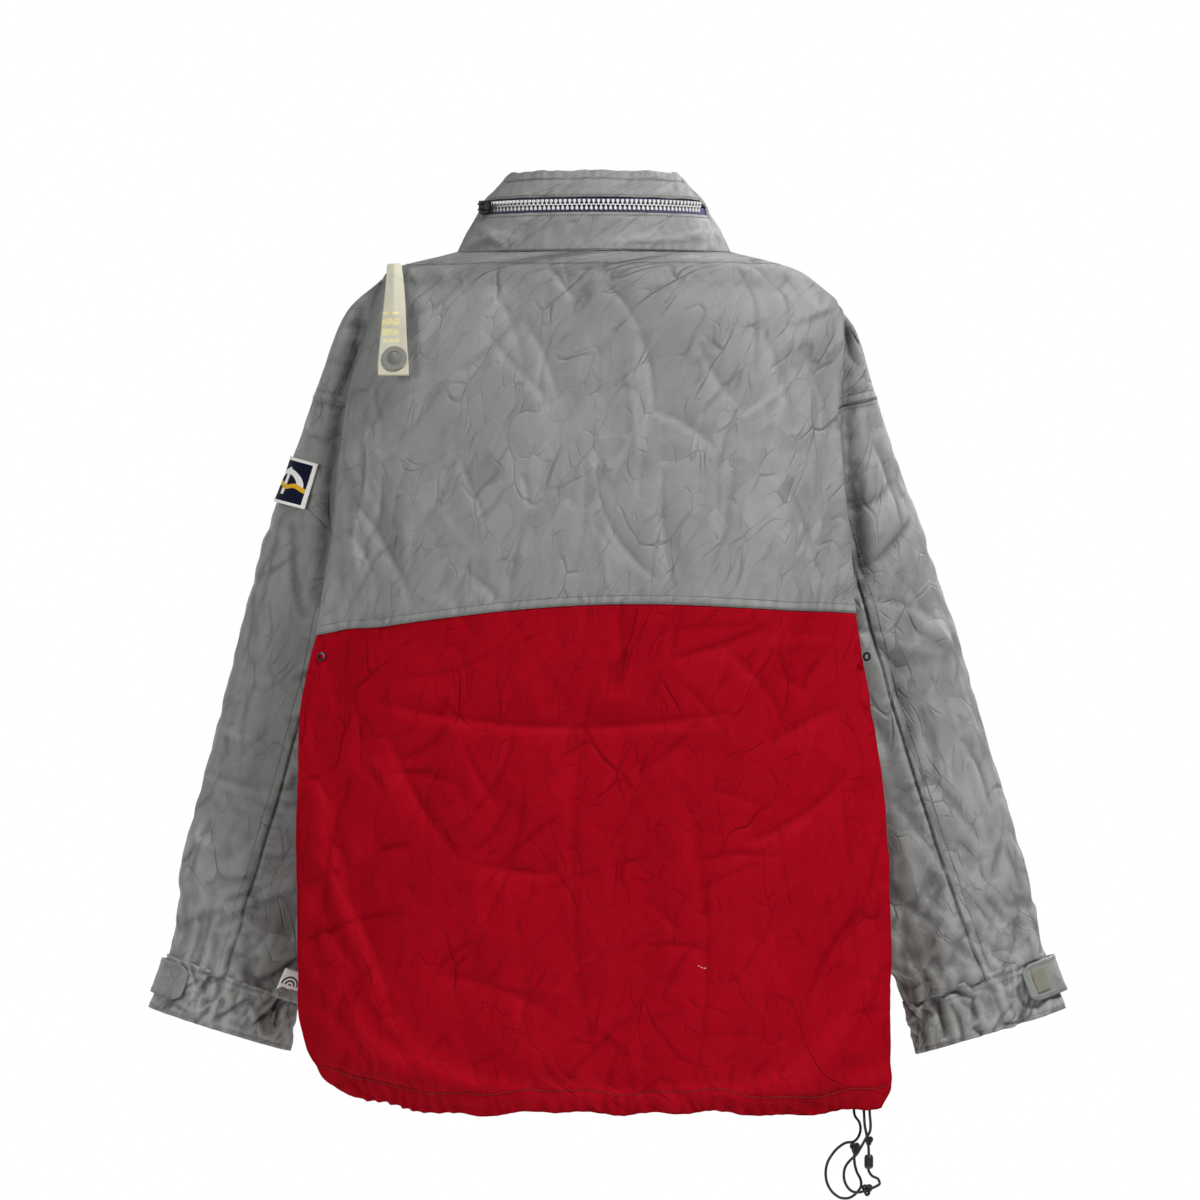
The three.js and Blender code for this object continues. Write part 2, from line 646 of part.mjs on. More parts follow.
// A bellows pocket on each front, turned to lie on the panel, with a flap over its mouth.
function addPockets() {
  const inner = 48;
  const outer = 166;
  const bottom = 92;
  const top = 250;
  for (const side of SIDES) {
    const front = (x) => bodyPoint(phiAtX(side.sign * x, 170, true), 170, 0);
    const near = front(inner);
    const far = front(outer);
    const turned = new THREE.Group();
    turned.position.set((near.x + far.x) / 2, (near.y + far.y) / 2, 0);
    turned.rotation.z = Math.atan2((far.y - near.y) * side.sign, (far.x - near.x) * side.sign);
    garment.add(turned);
    const half = near.distanceTo(far) / 2;
    const shell = block([-half, -16, bottom], [half, -4.6, top]);
    const hollow = block([-half + 2, -14, bottom + 2], [half - 2, -3, top + 5]);
    addPiece(`pocket_${side.name}`, subtract(shell, hollow), RED, 0.75, 0, turned);
    const flap = join(
      block([-half - 3, -19, top - 52], [half + 3, -17, top + 10]),
      block([-half - 3, -18, top + 8], [half + 3, -5, top + 10]),
    );
    addPiece(`pocket_flap_${side.name}`, flap, RED, 0.75, 0, turned);
  }
}

// The strap is sewn into the shoulder ridge and hangs over the back, bent once.
function addShoulderStrap() {
  const bend = { y: 43, height: 704 };
  const foot = { y: 59, height: 646 };
  const lean = Math.atan2(foot.y - bend.y, bend.height - foot.height);
  const route = new THREE.Shape();
  route.moveTo(9, 752);
  route.lineTo(bend.y, bend.height);
  route.lineTo(foot.y, foot.height);
  route.lineTo(foot.y + STRAP_THICKNESS, foot.height + 0.4);
  route.lineTo(bend.y + STRAP_THICKNESS, bend.height + 1);
  route.lineTo(10, 753.4);
  route.closePath();
  const strip = new THREE.ExtrudeGeometry(route, { depth: STRAP_WIDTH, bevelEnabled: false });
  strip.rotateX(Math.PI / 2).rotateZ(Math.PI / 2).translate(STRAP_X - STRAP_WIDTH / 2, 0, 0);
  const eye = new THREE.Vector3(STRAP_X, 0, 661);
  eye.y = bend.y + ((bend.height - eye.z) / (bend.height - foot.height)) * (foot.y - bend.y);
  eye.add(new THREE.Vector3(0, Math.cos(lean), Math.sin(lean)).multiplyScalar(STRAP_THICKNESS / 2));
  const hole = new THREE.CylinderGeometry(8.4, 8.4, 12, 20);
  hole.rotateX(lean).translate(eye.x, eye.y, eye.z);
  addPiece('shoulder_strap', subtract(strip, hole), BEIGE, 0.85);
  const ring = ringOf([
    [EYELET_HOLE, -1.7], [EYELET_OUTER, -1.7], [EYELET_OUTER, -1.15], [8.1, -1.15],
    [8.1, 1.15], [EYELET_OUTER, 1.15], [EYELET_OUTER, 1.7], [EYELET_HOLE, 1.7],
  ], 16);
  const eyelet = addPiece('strap_eyelet', ring, STEEL, 0.35, 0.85);
  eyelet.position.copy(eye);
  eyelet.rotation.x = lean;
}

function addVentEyelets() {
  const height = 401;
  const ring = () => ringOf([[2.2, 0.8], [4.2, 0.8], [4, 1.4], [2.4, 1.6]], 14);
  for (const side of SIDES) {
    const phi = side.sign > 0 ? radians(14) : Math.PI - radians(14);
    const spot = bodyPoint(phi, height, 0);
    const ahead = bodyPoint(phi + 0.02, height, 0);
    const washer = new THREE.Group();
    washer.position.copy(spot);
    washer.rotation.z = Math.atan2(spot.y - ahead.y, spot.x - ahead.x);
    garment.add(washer);
    addPiece(`vent_eyelet_${side.name}`, ring(), STEEL, 0.35, 0.85, washer);
  }
}

// A narrow tape loop that droops inside the back of the neck.
function addHangingLoop() {
  const loop = new THREE.Shape();
  loop.moveTo(-20, 0);
  loop.lineTo(-20, -8);
  loop.absarc(0, -8, 20, Math.PI, 2 * Math.PI, false);
  loop.lineTo(20, 0);
  loop.lineTo(12.5, 0);
  loop.lineTo(12.5, -8);
  loop.absarc(0, -8, 12.5, 0, Math.PI, true);
  loop.lineTo(-12.5, 0);
  loop.closePath();
  const tape = new THREE.ExtrudeGeometry(loop, { depth: 1.2, bevelEnabled: false, curveSegments: 10 });
  tape.rotateX(Math.PI / 2).translate(0, 39, 776);
  addPiece('hanging_loop', tape, NAVY, 0.85);
}

function addDrawcord() {
  addPiece('hem_drawcord', cordTube(hemRun(), 48), BLACK, 0.8);
  addPiece('drawcord_wide_loop', cordTube(WIDE_LOOP, 36), BLACK, 0.8);
  addPiece('drawcord_long_loop', cordTube(LONG_LOOP, 42), BLACK, 0.8);
  const bead = ringOf([[1.6, -6], [3, -6], [3.9, -4], [3.9, 4], [3, 6], [1.6, 6]], 12);
  const stopper = addPiece('cord_stopper', bead, BLACK, 0.5);
  stopper.rotation.x = Math.PI / 2;
  stopper.position.set(-241, 22, -42);
}

addBody();
addSleeves();
addCollar();
addCollarSlider();
addFrontZip();
addStormFlap();
addPockets();
addShoulderStrap();
addVentEyelets();
addHangingLoop();
addDrawcord();

export default jacket;
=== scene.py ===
"""A sailor's foul weather jacket, two-coloured, hung up and seen from behind.

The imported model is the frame: its metal and plastic fittings stay, and the cloth, the cords,
the zip teeth and the stitching are made here. Lengths in this file are millimetres above the hem
until metres() turns them into the frame's own metres, counted from the hanger's seat.
"""

import math

import bmesh
import bpy
import numpy as np
from bpy.props import FloatProperty, FloatVectorProperty, PointerProperty
from bpy.types import Operator, Panel, PropertyGroup
from mathutils import Matrix, Vector


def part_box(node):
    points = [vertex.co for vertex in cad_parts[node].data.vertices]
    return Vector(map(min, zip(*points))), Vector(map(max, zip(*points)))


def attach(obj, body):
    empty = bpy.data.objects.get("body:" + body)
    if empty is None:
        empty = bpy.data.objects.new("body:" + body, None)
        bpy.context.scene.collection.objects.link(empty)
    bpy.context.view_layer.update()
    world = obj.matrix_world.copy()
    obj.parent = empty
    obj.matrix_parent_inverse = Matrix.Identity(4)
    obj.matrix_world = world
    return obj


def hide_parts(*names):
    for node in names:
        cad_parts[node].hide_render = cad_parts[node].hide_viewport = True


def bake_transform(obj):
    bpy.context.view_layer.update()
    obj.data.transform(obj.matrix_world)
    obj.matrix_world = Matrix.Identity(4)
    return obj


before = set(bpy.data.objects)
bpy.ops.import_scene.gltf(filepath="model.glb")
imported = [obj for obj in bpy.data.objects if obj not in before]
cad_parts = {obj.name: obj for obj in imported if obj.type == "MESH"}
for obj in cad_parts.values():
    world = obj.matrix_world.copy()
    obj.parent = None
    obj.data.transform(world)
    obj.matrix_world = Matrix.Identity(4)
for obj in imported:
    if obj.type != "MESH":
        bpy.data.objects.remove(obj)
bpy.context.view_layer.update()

bl_info = {
    "name": "Foul Weather Jacket",
    "version": (1, 0, 0),
    "blender": (4, 5, 0),
    "location": "View3D > Sidebar > Jacket",
    "description": "Makes the cloth, seams, zips and cords of a sailor's hooded jacket",
    "category": "Object",
}

MM = 0.001
SEAT_HEIGHT = 740.0  # the hanger's seat above the hem
TURN = 2 * math.pi
QUARTER = math.pi / 2
NARROWEST_SHEET = 0.0102  # narrower trim would count as an edging and no sheet, though cloth_sheet treats both alike, in metres
FINEST = 5.5  # the smallest crease the cloth's points can carry
STITCH_SHARE = 0.34  # how much of a stitch's length lies on each side of its middle
EYELET_HOLE = 0.0085  # the radius cut from the strap for its eyelet, in metres
STRAP_X = 174.0  # the shoulder strap's middle
STRAP_HALF = 13.5  # half the strap's full width
STRAP_ROWS = 76
STRAP_COLUMNS = 26
LOOP_HALF = 16.2  # half the distance between the hanging loop's ends
LOOP_Y = 39.0
STRIP_COLUMNS = 8

# --------------------------------------------------------------------------- the cut of the jacket

# Height above the hem, half width on the wearer's left and right, then the y of the side fold
# and of the back, and how square the back and the front are.
BODY = (
    (0, 200, 250, 20, 64, 2.6, 1.5),
    (24, 229, 259, 20, 69, 2.6, 1.5),
    (48, 248, 260, 20, 71, 2.6, 1.5),
    (76, 257, 260, 20, 72, 2.6, 1.5),
    (150, 259, 261, 20, 73, 2.6, 1.5),
    (300, 260, 252, 20, 74, 2.6, 1.5),
    (362, 257, 243, 20, 75, 2.6, 1.5),
    (428, 243, 232, 19, 76, 2.6, 1.5),
    (500, 231, 225, 17, 76, 3.0, 1.5),
    (590, 221, 217, 13, 73, 3.4, 1.5),
    (640, 213, 218, 9, 70, 3.5, 1.6),
    (690, 199, 220, 5, 66, 3.2, 1.7),
    (712, 193, 216, 2, 64, 2.8, 1.8),
    (727, 186, 198, 0, 62, 2.3, 1.8),
    (741, 175, 174, -1, 61, 2.2, 1.9),
    (757, 119, 119, -5, 60, 2.0, 2.0),
)
FRONT_Y = -62.0
ZIP_EDGE = 5.5
NECK_SEAM = 757.0
SEAM_PEAK, SEAM_PEAK_X, SEAM_DROP, SEAM_SPAN = 455.0, -40.0, 28.0, 256.0

# Each sleeve from cuff to armhole: the outer edge (x, height), the inner edge, y and depth.
SLEEVE_LEFT = (
    (394, 89, 272, 51, -60, 29),
    (378, 134, 260, 94, -61, 30),
    (369, 179, 238, 141, -63, 33),
    (364, 231, 216, 194, -64, 36),
    (331, 354, 181, 317, -64, 38),
    (294, 498, 146, 462, -52, 42),
    (267, 574, 140, 540, -43, 42),
    (241, 645, 143, 612, -22, 29),
    (218, 702, 160, 650, -9, 13),
    (186, 733, 176, 655, -2, 5),
)
SLEEVE_RIGHT = (
    (-417, 88, -287, 48, -60, 29),
    (-399, 136, -275, 92, -61, 30),
    (-390, 184, -252, 137, -63, 33),
    (-377, 235, -228, 190, -64, 36),
    (-341, 355, -189, 313, -64, 38),
    (-296, 498, -149, 460, -52, 42),
    (-267, 574, -140, 540, -43, 42),
    (-246, 643, -143, 612, -22, 29),
    (-231, 687, -165, 655, -9, 12),
    (-217, 706, -190, 650, -4, 4),
)
ARMHOLE = 9.0
SHOULDER_SEAM = 6.72  # where the sleeve is sewn to its head

# The collar from its seam to its top: height, half width and the y of the back.
COLLAR = (
    (757, 120, 61),
    (770, 114, 58),
    (789, 103, 56),
    (796, 100, 55),
    (803, 96, 53),
    (815, 84, 47),
    (827, 73, 40),
)
COLLAR_FRONT_Y = -62.0
COLLAR_SIDE_Y = -5.0
COLLAR_TOP = 827.0
CHAIN_HEIGHT = 796.0
SLOT_HALF = 7.0

# The big creases of the hung back: from (x, height) to (x, height), how proud and how wide.
BACK_FOLDS = (
    (181, 688, 96, 750, 2.0, 9),
    (150, 640, 188, 706, -1.6, 7),
    (65, 702, 30, 627, 1.9, 7),
    (92, 735, 60, 650, 1.4, 8),
    (-40, 690, -54, 618, 2.1, 6),
    (-54, 622, -111, 588, 1.5, 5),
    (-93, 680, -133, 622, 1.8, 6),
    (-146, 694, -172, 604, 2.4, 8),
    (-178, 680, -210, 596, 2.2, 8),
    (-124, 585, -93, 462, 2.0, 8),
    (-65, 575, -74, 462, 1.9, 7),
    (-160, 560, -196, 470, 1.6, 7),
    (8, 575, 17, 480, 1.3, 9),
    (213, 545, 153, 445, 2.0, 7),
    (196, 610, 214, 500, -2.2, 8),
    (120, 600, 150, 520, 1.2, 7),
    (197, 372, -120, 362, 2.3, 6),
    (175, 340, 109, 228, 2.4, 7),
    (109, 232, 30, 222, 1.8, 7),
    (205, 300, 236, 180, 2.2, 8),
    (-128, 245, -225, 305, 2.4, 7),
    (-150, 330, -215, 360, 1.8, 6),
    (-243, 190, -181, 98, 2.0, 8),
    (232, 222, 171, 90, 2.4, 9),
    (144, 132, 30, 96, 1.8, 8),
    (-5, 410, -8, 30, 3.4, 16),
    (-78, 300, -84, 20, 2.6, 13),
    (-110, 420, -175, 330, 1.8, 7),
    (60, 300, 96, 170, 1.6, 7),
)

# The free loops of the hem's drawcord, in millimetres from the hem downwards.
WIDE_LOOP = (
    (-228, 16, 7), (-229, 16, -2), (-233, 16, -8), (-234, 15.5, -14), (-232.5, 15, -20), (-228, 14, -25),
    (-221.5, 13, -26), (-215, 12.5, -30), (-209.5, 12, -36), (-205, 12, -44), (-203.5, 12, -53),
    (-205, 12, -62), (-210, 12, -70), (-217, 12.5, -74.5), (-224, 13, -74.5), (-230.5, 14, -70),
    (-234.5, 15, -64), (-234, 15.5, -58), (-231, 15.5, -52), (-229, 15.5, -45), (-228.5, 16, -38),
    (-229, 17, -32.5),
)
LONG_LOOP = (
    (-236.5, 21, 7), (-237, 22, -2), (-237.5, 22, -10), (-239, 22, -18), (-240.5, 22, -26), (-241, 22, -34),
    (-241, 22, -42), (-241, 22, -50), (-244, 22.5, -54.5), (-249, 23, -57), (-250.5, 24, -61),
    (-246, 25, -64), (-240, 26, -66), (-233, 26, -68.5), (-226, 26, -67.5), (-221, 26, -62),
    (-219, 26, -54), (-220.5, 26, -46), (-225, 26, -40), (-230, 26, -35.5), (-234, 26, -29),
    (-238, 25.5, -22), (-242, 24.5, -15), (-242.5, 23, -8), (-242, 22, -2), (-241.5, 21, 7),
)


# --------------------------------------------------------------------------- sizes and colours


def size(name, description, value):
    """A length that a user may change, in metres."""
    return FloatProperty(name=name, description=description, default=value, min=0.0, unit="LENGTH",
                         precision=4)


def share(name, description, value):
    """A share from nothing to all."""
    return FloatProperty(name=name, description=description, default=value, min=0.0, max=2.0,
                         subtype="FACTOR")


def colour(name, description, value):
    """A colour that a user may change."""
    return FloatVectorProperty(
        name=name, description=description, default=value, size=3, min=0.0, max=1.0, subtype="COLOR"
    )


class JacketSizes(PropertyGroup):
    """The sizes of the cloth and of what is sewn to it."""

    shell: size("Shell cloth", "Thickness of the coated shell cloth", 0.0011)
    stitch_length: size("Stitch length", "Length of one stitch", 0.0032)
    thread: size("Thread", "Thickness of the sewing thread", 0.0005)
    cord: size("Drawcord", "Diameter of the hem's drawcord", 0.0024)
    tooth_pitch: size("Tooth pitch", "Distance from one zip tooth to the next", 0.0042)
    back_spacing: size("Back spacing", "Distance between the points of the back's cloth", 0.0025)
    spacing: size("Spacing", "Distance between the points of the other cloth", 0.003)
    crumple: share("Crumple", "How strongly the cloth is creased", 1.0)


class JacketColours(PropertyGroup):
    """The colours of the cloth and fittings."""

    silver: colour("Silver", "The coated upper cloth and the sleeves", (0.222, 0.226, 0.218))
    red: colour("Red", "The lower cloth", (0.315, 0.0008, 0.0078))
    lining: colour("Lining", "The lining inside", (0.020, 0.024, 0.050))
    navy: colour("Navy", "Zip tapes and the badge", (0.0060, 0.0048, 0.0075))
    steel: colour("Steel", "Eyelets, snaps and sliders", (0.55, 0.54, 0.50))
    webbing: colour("Webbing", "The shoulder strap", (0.46, 0.44, 0.35))
    hook_tape: colour("Hook tape", "The touch-and-close patches", (0.20, 0.195, 0.145))
    white: colour("White", "Badge border and label", (0.82, 0.80, 0.76))
    cord: colour("Cord", "The drawcord and its stopper", (0.005, 0.0046, 0.0055))


def sizes():
    return bpy.context.scene.jacket_sizes


def colours():
    return bpy.context.scene.jacket_colours


# --------------------------------------------------------------------------- lines and surfaces


def metres(points):
    """Millimetres above the hem as metres in the frame."""
    return (np.asarray(points, float) - (0.0, 0.0, SEAT_HEIGHT)) * MM


def through(keys, values, at):
    """A smooth line through values at keys, read at each place in at."""
    keys, values, at = np.asarray(keys, float), np.asarray(values, float), np.asarray(at, float)
    slope = np.gradient(values, keys, axis=0)
    at = np.clip(at, keys[0], keys[-1])
    i = np.clip(np.searchsorted(keys, at, side="right") - 1, 0, len(keys) - 2)
    step = keys[i + 1] - keys[i]
    t = (at - keys[i]) / step
    shape = t.shape + (1,) * (values.ndim - 1)
    t, step = t.reshape(shape), step.reshape(shape)
    near = values[i] * (2 * t**3 - 3 * t**2 + 1) + slope[i] * step * (t**3 - 2 * t**2 + t)
    far = values[i + 1] * (3 * t**2 - 2 * t**3) + slope[i + 1] * step * (t**3 - t**2)
    return near + far


def ramp(value, low, high):
    """0 below low, 1 above high, and a soft rise between."""
    t = np.clip((value - low) / (high - low), 0, 1)
    return t * t * (3 - 2 * t)


def waist_line(x):
    """Height of the seam between the upper and the lower cloth."""
    return SEAM_PEAK - SEAM_DROP * ((x - SEAM_PEAK_X) / SEAM_SPAN) ** 2


def hem_line(x):
    """Height of the hem, which the drawcord lifts at the wearer's left."""
    wave = 2.2 * np.sin(x / 21.0) + 1.5 * np.sin(x / 9.0 + 1.0)
    return 3.0 + wave * 0.8 + 20.0 * ramp(x, 150, 240) - 1.0 * ramp(-x, 60, 200) + 5.0 * ramp(-x, 236, 262)


def body_point(level, phi, inset=0.0):
    """The body's surface: level 0 at the hem, 1 at the waist seam, 2 at the neck, and phi round it."""
    cosine = np.cos(phi)
    x = 230.0 * cosine
    stations = np.array(BODY, float)
    for _ in range(4):
        low, waist = hem_line(x), waist_line(x)
        height = np.where(level < 1, low + (waist - low) * level, waist + (NECK_SEAM - waist) * (level - 1))
        at = through(stations[:, 0], stations[:, 1:], height)
        half = np.where(cosine > 0, at[..., 0], at[..., 1]) - inset
        x = half * cosine
    side, back = at[..., 2], at[..., 3]
    behind = np.sin(phi) >= 0
    reach = np.where(behind, back - side - inset, FRONT_Y - side + inset)
    power = np.where(behind, at[..., 4], at[..., 5])
    y = side + reach * (1 - np.abs(cosine) ** power)
    return np.stack([x, y, height], axis=-1)


def body_depth(x, height, behind):
    """The y of the body's back or front at x and a height, and how far inside the side fold x is."""
    stations = np.array(BODY, float)
    at = through(stations[:, 0], stations[:, 1:], np.clip(height, 0, NECK_SEAM))
    half = np.where(x > 0, at[..., 0], at[..., 1])
    cosine = np.clip(np.abs(x) / half, 0, 1)
    reach = (at[..., 3] - at[..., 2]) if behind else (FRONT_Y - at[..., 2])
    power = at[..., 4] if behind else at[..., 5]
    return at[..., 2] + reach * (1 - cosine**power), half - np.abs(x)


def sleeve_point(table, t, phi, inset=0.0):
    """A sleeve's surface: t from 0 at the cuff to 9 at the armhole, phi 0 towards the wearer's left."""
    at = through(np.arange(len(table)), np.array(table, float), t)
    outer, inner = at[..., 0:2], at[..., 2:4]
    left = np.mean(np.array(table)[:, 0]) > 0
    east, west = (outer, inner) if left else (inner, outer)
    middle, arm = (east + west) / 2, (east - west) / 2
    length = np.linalg.norm(arm, axis=-1, keepdims=True)
    arm = arm / length * (length - inset)
    flat = middle + arm * np.cos(phi)[..., None]
    y = at[..., 4] + (at[..., 5] - inset) * np.sin(phi)
    return np.stack([flat[..., 0], y, flat[..., 1]], axis=-1)


def collar_point(height, phi, inset=0.0):
    """The collar's surface at a height, with phi round it as on the body."""
    stations = np.array(COLLAR, float)
    at = through(stations[:, 0], stations[:, 1:], height)
    half, back = at[..., 0] - inset, at[..., 1] - inset
    behind = np.sin(phi) >= 0
    rise = np.where(behind, back - COLLAR_SIDE_Y, COLLAR_SIDE_Y - COLLAR_FRONT_Y - inset)
    x = half * np.cos(phi)
    radius = (half**2 + rise**2) / (2 * rise)
    bulge = rise - radius + np.sqrt(np.maximum(radius**2 - x**2, 0))
    y = COLLAR_SIDE_Y + np.where(behind, bulge, -bulge)
    return np.stack([x, y, height + np.zeros_like(x)], axis=-1)


def edge_angle(surface, edge):
    """The angle of the front's edge on a surface, edge from the middle of the front."""
    low, high = 0.0, QUARTER
    for _ in range(30):
        middle = (low + high) / 2
        low, high = (middle, high) if abs(surface(-middle)[0]) > edge else (low, middle)
    return -low


# --------------------------------------------------------------------------- creases and crinkles


def noise(seed, a, b):
    """Smooth seeded noise from about -1 to 1, with one bump to a unit of a and b."""
    angles = np.random.default_rng(seed).uniform(0, TURN, (128, 128))
    i, j = np.floor(a).astype(int), np.floor(b).astype(int)
    s, t = a - i, b - j

    def corner(di, dj):
        g = angles[(i + di) % 128, (j + dj) % 128]
        return np.cos(g) * (s - di) + np.sin(g) * (t - dj)

    u, v = s**3 * (s * (s * 6 - 15) + 10), t**3 * (t * (t * 6 - 15) + 10)
    low = corner(0, 0) * (1 - u) + corner(1, 0) * u
    high = corner(0, 1) * (1 - u) + corner(1, 1) * u
    return 1.5 * (low * (1 - v) + high * v)


def crumple(seed, across, along, facet, stretch=2.0, lean=0.0):
    """Crumpled cloth: soft facets with sharp ridges between them, longer along than across."""
    a = across * math.cos(lean) + along * math.sin(lean)
    b = along * math.cos(lean) - across * math.sin(lean)
    a = a + facet * 0.5 * noise(seed + 90, across / facet / 2, along / facet / 2)
    b = b + facet * 0.5 * noise(seed + 91, across / facet / 2, along / facet / 2)
    total = np.zeros_like(across)
    for octave in range(4):
        cell = facet / 1.8**octave
        if cell < FINEST:
            break
        ridge = 0.45 - np.abs(noise(seed + octave, a / cell, b / (cell * stretch)))
        total += ridge * 0.56**octave
    return total


def crease(across, along, start, end, bend=0.0, width=5.0):
    """One sharp crease from start to end that dies away at its ends, steep on one side."""
    dx, dy = end[0] - start[0], end[1] - start[1]
    length = math.hypot(dx, dy)
    a, b = across - (start[0] + end[0]) / 2, along - (start[1] + end[1]) / 2
    p = (a * dx + b * dy) / length
    share_of = np.clip(1 - (2 * p / length) ** 2, 0, 1)
    q = (b * dx - a * dy) / length - bend * share_of
    side = np.where(q > 0, q / width, -q / (width * 2.4))
    return share_of**0.8 * np.exp(-side)


def seeded_creases(seed, across, along, count, lengths, lean, spread, height, width):
    """Many small creases scattered over a piece of cloth, lean and spread in degrees from upright."""
    rng = np.random.default_rng(seed)
    relief = np.zeros_like(across)
    rows = along[:, along.shape[1] // 2]
    for _ in range(count):
        length = rng.uniform(*lengths)
        turn = math.radians(rng.normal(lean, spread))
        a0, b0 = rng.uniform(across.min(), across.max()), rng.uniform(along.min(), along.max())
        tall, wide = rng.uniform(0.3, 1.0) ** 1.5 * height, rng.uniform(0.8, 1.5) * width
        tall = -tall if rng.uniform() < 0.7 else 0.6 * tall
        bend = rng.uniform(-0.12, 0.12) * length
        half = (math.sin(turn) * length / 2, math.cos(turn) * length / 2)
        reach = abs(half[1]) + 5 * wide
        r0, r1 = np.searchsorted(rows, (b0 - reach, b0 + reach))
        line = across[(r0 + r1) // 2 if r1 < len(rows) else r0 - 1]
        c0, c1 = np.searchsorted(line, (a0 - abs(half[0]) - 6 * wide, a0 + abs(half[0]) + 6 * wide))
        if r1 - r0 < 2 or c1 - c0 < 2:
            continue
        part = (slice(r0, r1), slice(c0, c1))
        start, end = (a0 - half[0], b0 - half[1]), (a0 + half[0], b0 + half[1])
        relief[part] += tall * crease(across[part], along[part], start, end, bend, wide)
    return relief


def gathers(seed, across, pitch):
    """Pleats across a gathered edge, of uneven width."""
    place = across / pitch + 0.9 * noise(seed, across / pitch / 2.7, across * 0 + 0.4)
    wave = 0.5 + 0.5 * np.cos(TURN * place)
    return wave**1.6 - 0.4 + 0.35 * noise(seed + 1, across / pitch * 2.2, across * 0 + 0.7)


def blurred(values, reach):
    """Values averaged over their neighbours, reach rows and columns each way."""
    for axis in (0, 1):
        pad = [(reach, reach) if k == axis else (0, 0) for k in (0, 1)]
        total = np.cumsum(np.pad(values, pad, mode="edge"), axis=axis)
        total = np.insert(total, 0, 0, axis=axis)
        low = np.take(total, np.arange(values.shape[axis]), axis=axis)
        high = np.take(total, np.arange(values.shape[axis]) + 2 * reach + 1, axis=axis)
        values = (high - low) / (2 * reach + 1)
    return values


def spread_out(count, coarse):
    """The matrix that draws coarse values out into count smooth ones."""
    at = np.linspace(0, coarse - 1, count)
    i = np.clip(at.astype(int), 0, coarse - 2)
    t = at - i
    matrix = np.zeros((count, coarse))
    weights = (((1 - t) ** 3) / 6, (3 * t**3 - 6 * t**2 + 4) / 6, (-3 * t**3 + 3 * t**2 + 3 * t + 1) / 6,
               t**3 / 6)
    for k, weight in enumerate(weights):
        np.add.at(matrix, (np.arange(count), np.clip(i - 1 + k, 0, coarse - 1)), weight)
    return matrix


def settle(points, pins, step, closed=False, slack=0.02, cap=8.0, deep=4.5):
    """Hang every step-th row and column as cloth with a little slack, and give back how far it all moved."""
    rows = np.unique(np.linspace(0, points.shape[0] - 1, points.shape[0] // step + 1).astype(int))
    columns = np.unique(np.linspace(0, points.shape[1] - 1, points.shape[1] // step + 1).astype(int))
    coarse, held = metres(points[np.ix_(rows, columns)]), pins[np.ix_(rows, columns)]
    bm = bmesh.new()
    bmesh.ops.create_grid(bm, x_segments=len(columns) - 1, y_segments=len(rows) - 1, size=1.0)
    mesh = bpy.data.meshes.new("hanging_cloth")
    bm.to_mesh(mesh)
    bm.free()
    mesh.vertices.foreach_set("co", coarse.ravel())
    cloth = bpy.data.objects.new("hanging_cloth", mesh)
    bpy.context.collection.objects.link(cloth)
    group = cloth.vertex_groups.new(name="held")
    for index, weight in enumerate(held.ravel()):
        group.add([index], float(weight), "REPLACE")
    drape = cloth.modifiers.new("drape", "CLOTH")
    drape.settings.quality = 5
    drape.settings.mass = 0.12
    drape.settings.tension_stiffness = drape.settings.compression_stiffness = 12
    drape.settings.shear_stiffness = 6
    drape.settings.bending_stiffness = 0.04
    drape.settings.vertex_group_mass = "held"
    drape.settings.pin_stiffness = 1.0
    drape.settings.shrink_min = drape.settings.shrink_max = -slack
    drape.collision_settings.use_collision = False
    drape.point_cache.frame_start, drape.point_cache.frame_end = 1, 26
    for step_frame in range(1, 27):
        bpy.context.scene.frame_set(step_frame)
    depsgraph = bpy.context.evaluated_depsgraph_get()
    hung = cloth.evaluated_get(depsgraph).to_mesh()
    after = np.zeros(len(hung.vertices) * 3, np.float32)
    hung.vertices.foreach_get("co", after)
    bpy.data.objects.remove(cloth)
    bpy.data.meshes.remove(mesh)
    bpy.context.scene.frame_set(1)
    moved = (after.reshape(coarse.shape) - coarse) / MM
    out = Cloth(coarse, closed).normals()
    rise = np.einsum("rck,rck->rc", moved, out)[..., None]
    soft = np.where(rise < 0, deep * np.tanh(rise / deep), cap * np.tanh(rise / cap))
    slide = moved - rise * out
    far = np.linalg.norm(slide, axis=2, keepdims=True)
    slide = slide * np.minimum(1, cap / np.maximum(far, 1e-6))
    moved = (soft * out + slide) * (1 - held[..., None] ** 4)
    if closed:
        moved[:, -1] = moved[:, 0]
    up, over = spread_out(points.shape[0], len(rows)), spread_out(points.shape[1], len(columns))
    return np.einsum("ri,ijk,cj->rck", up, moved, over)


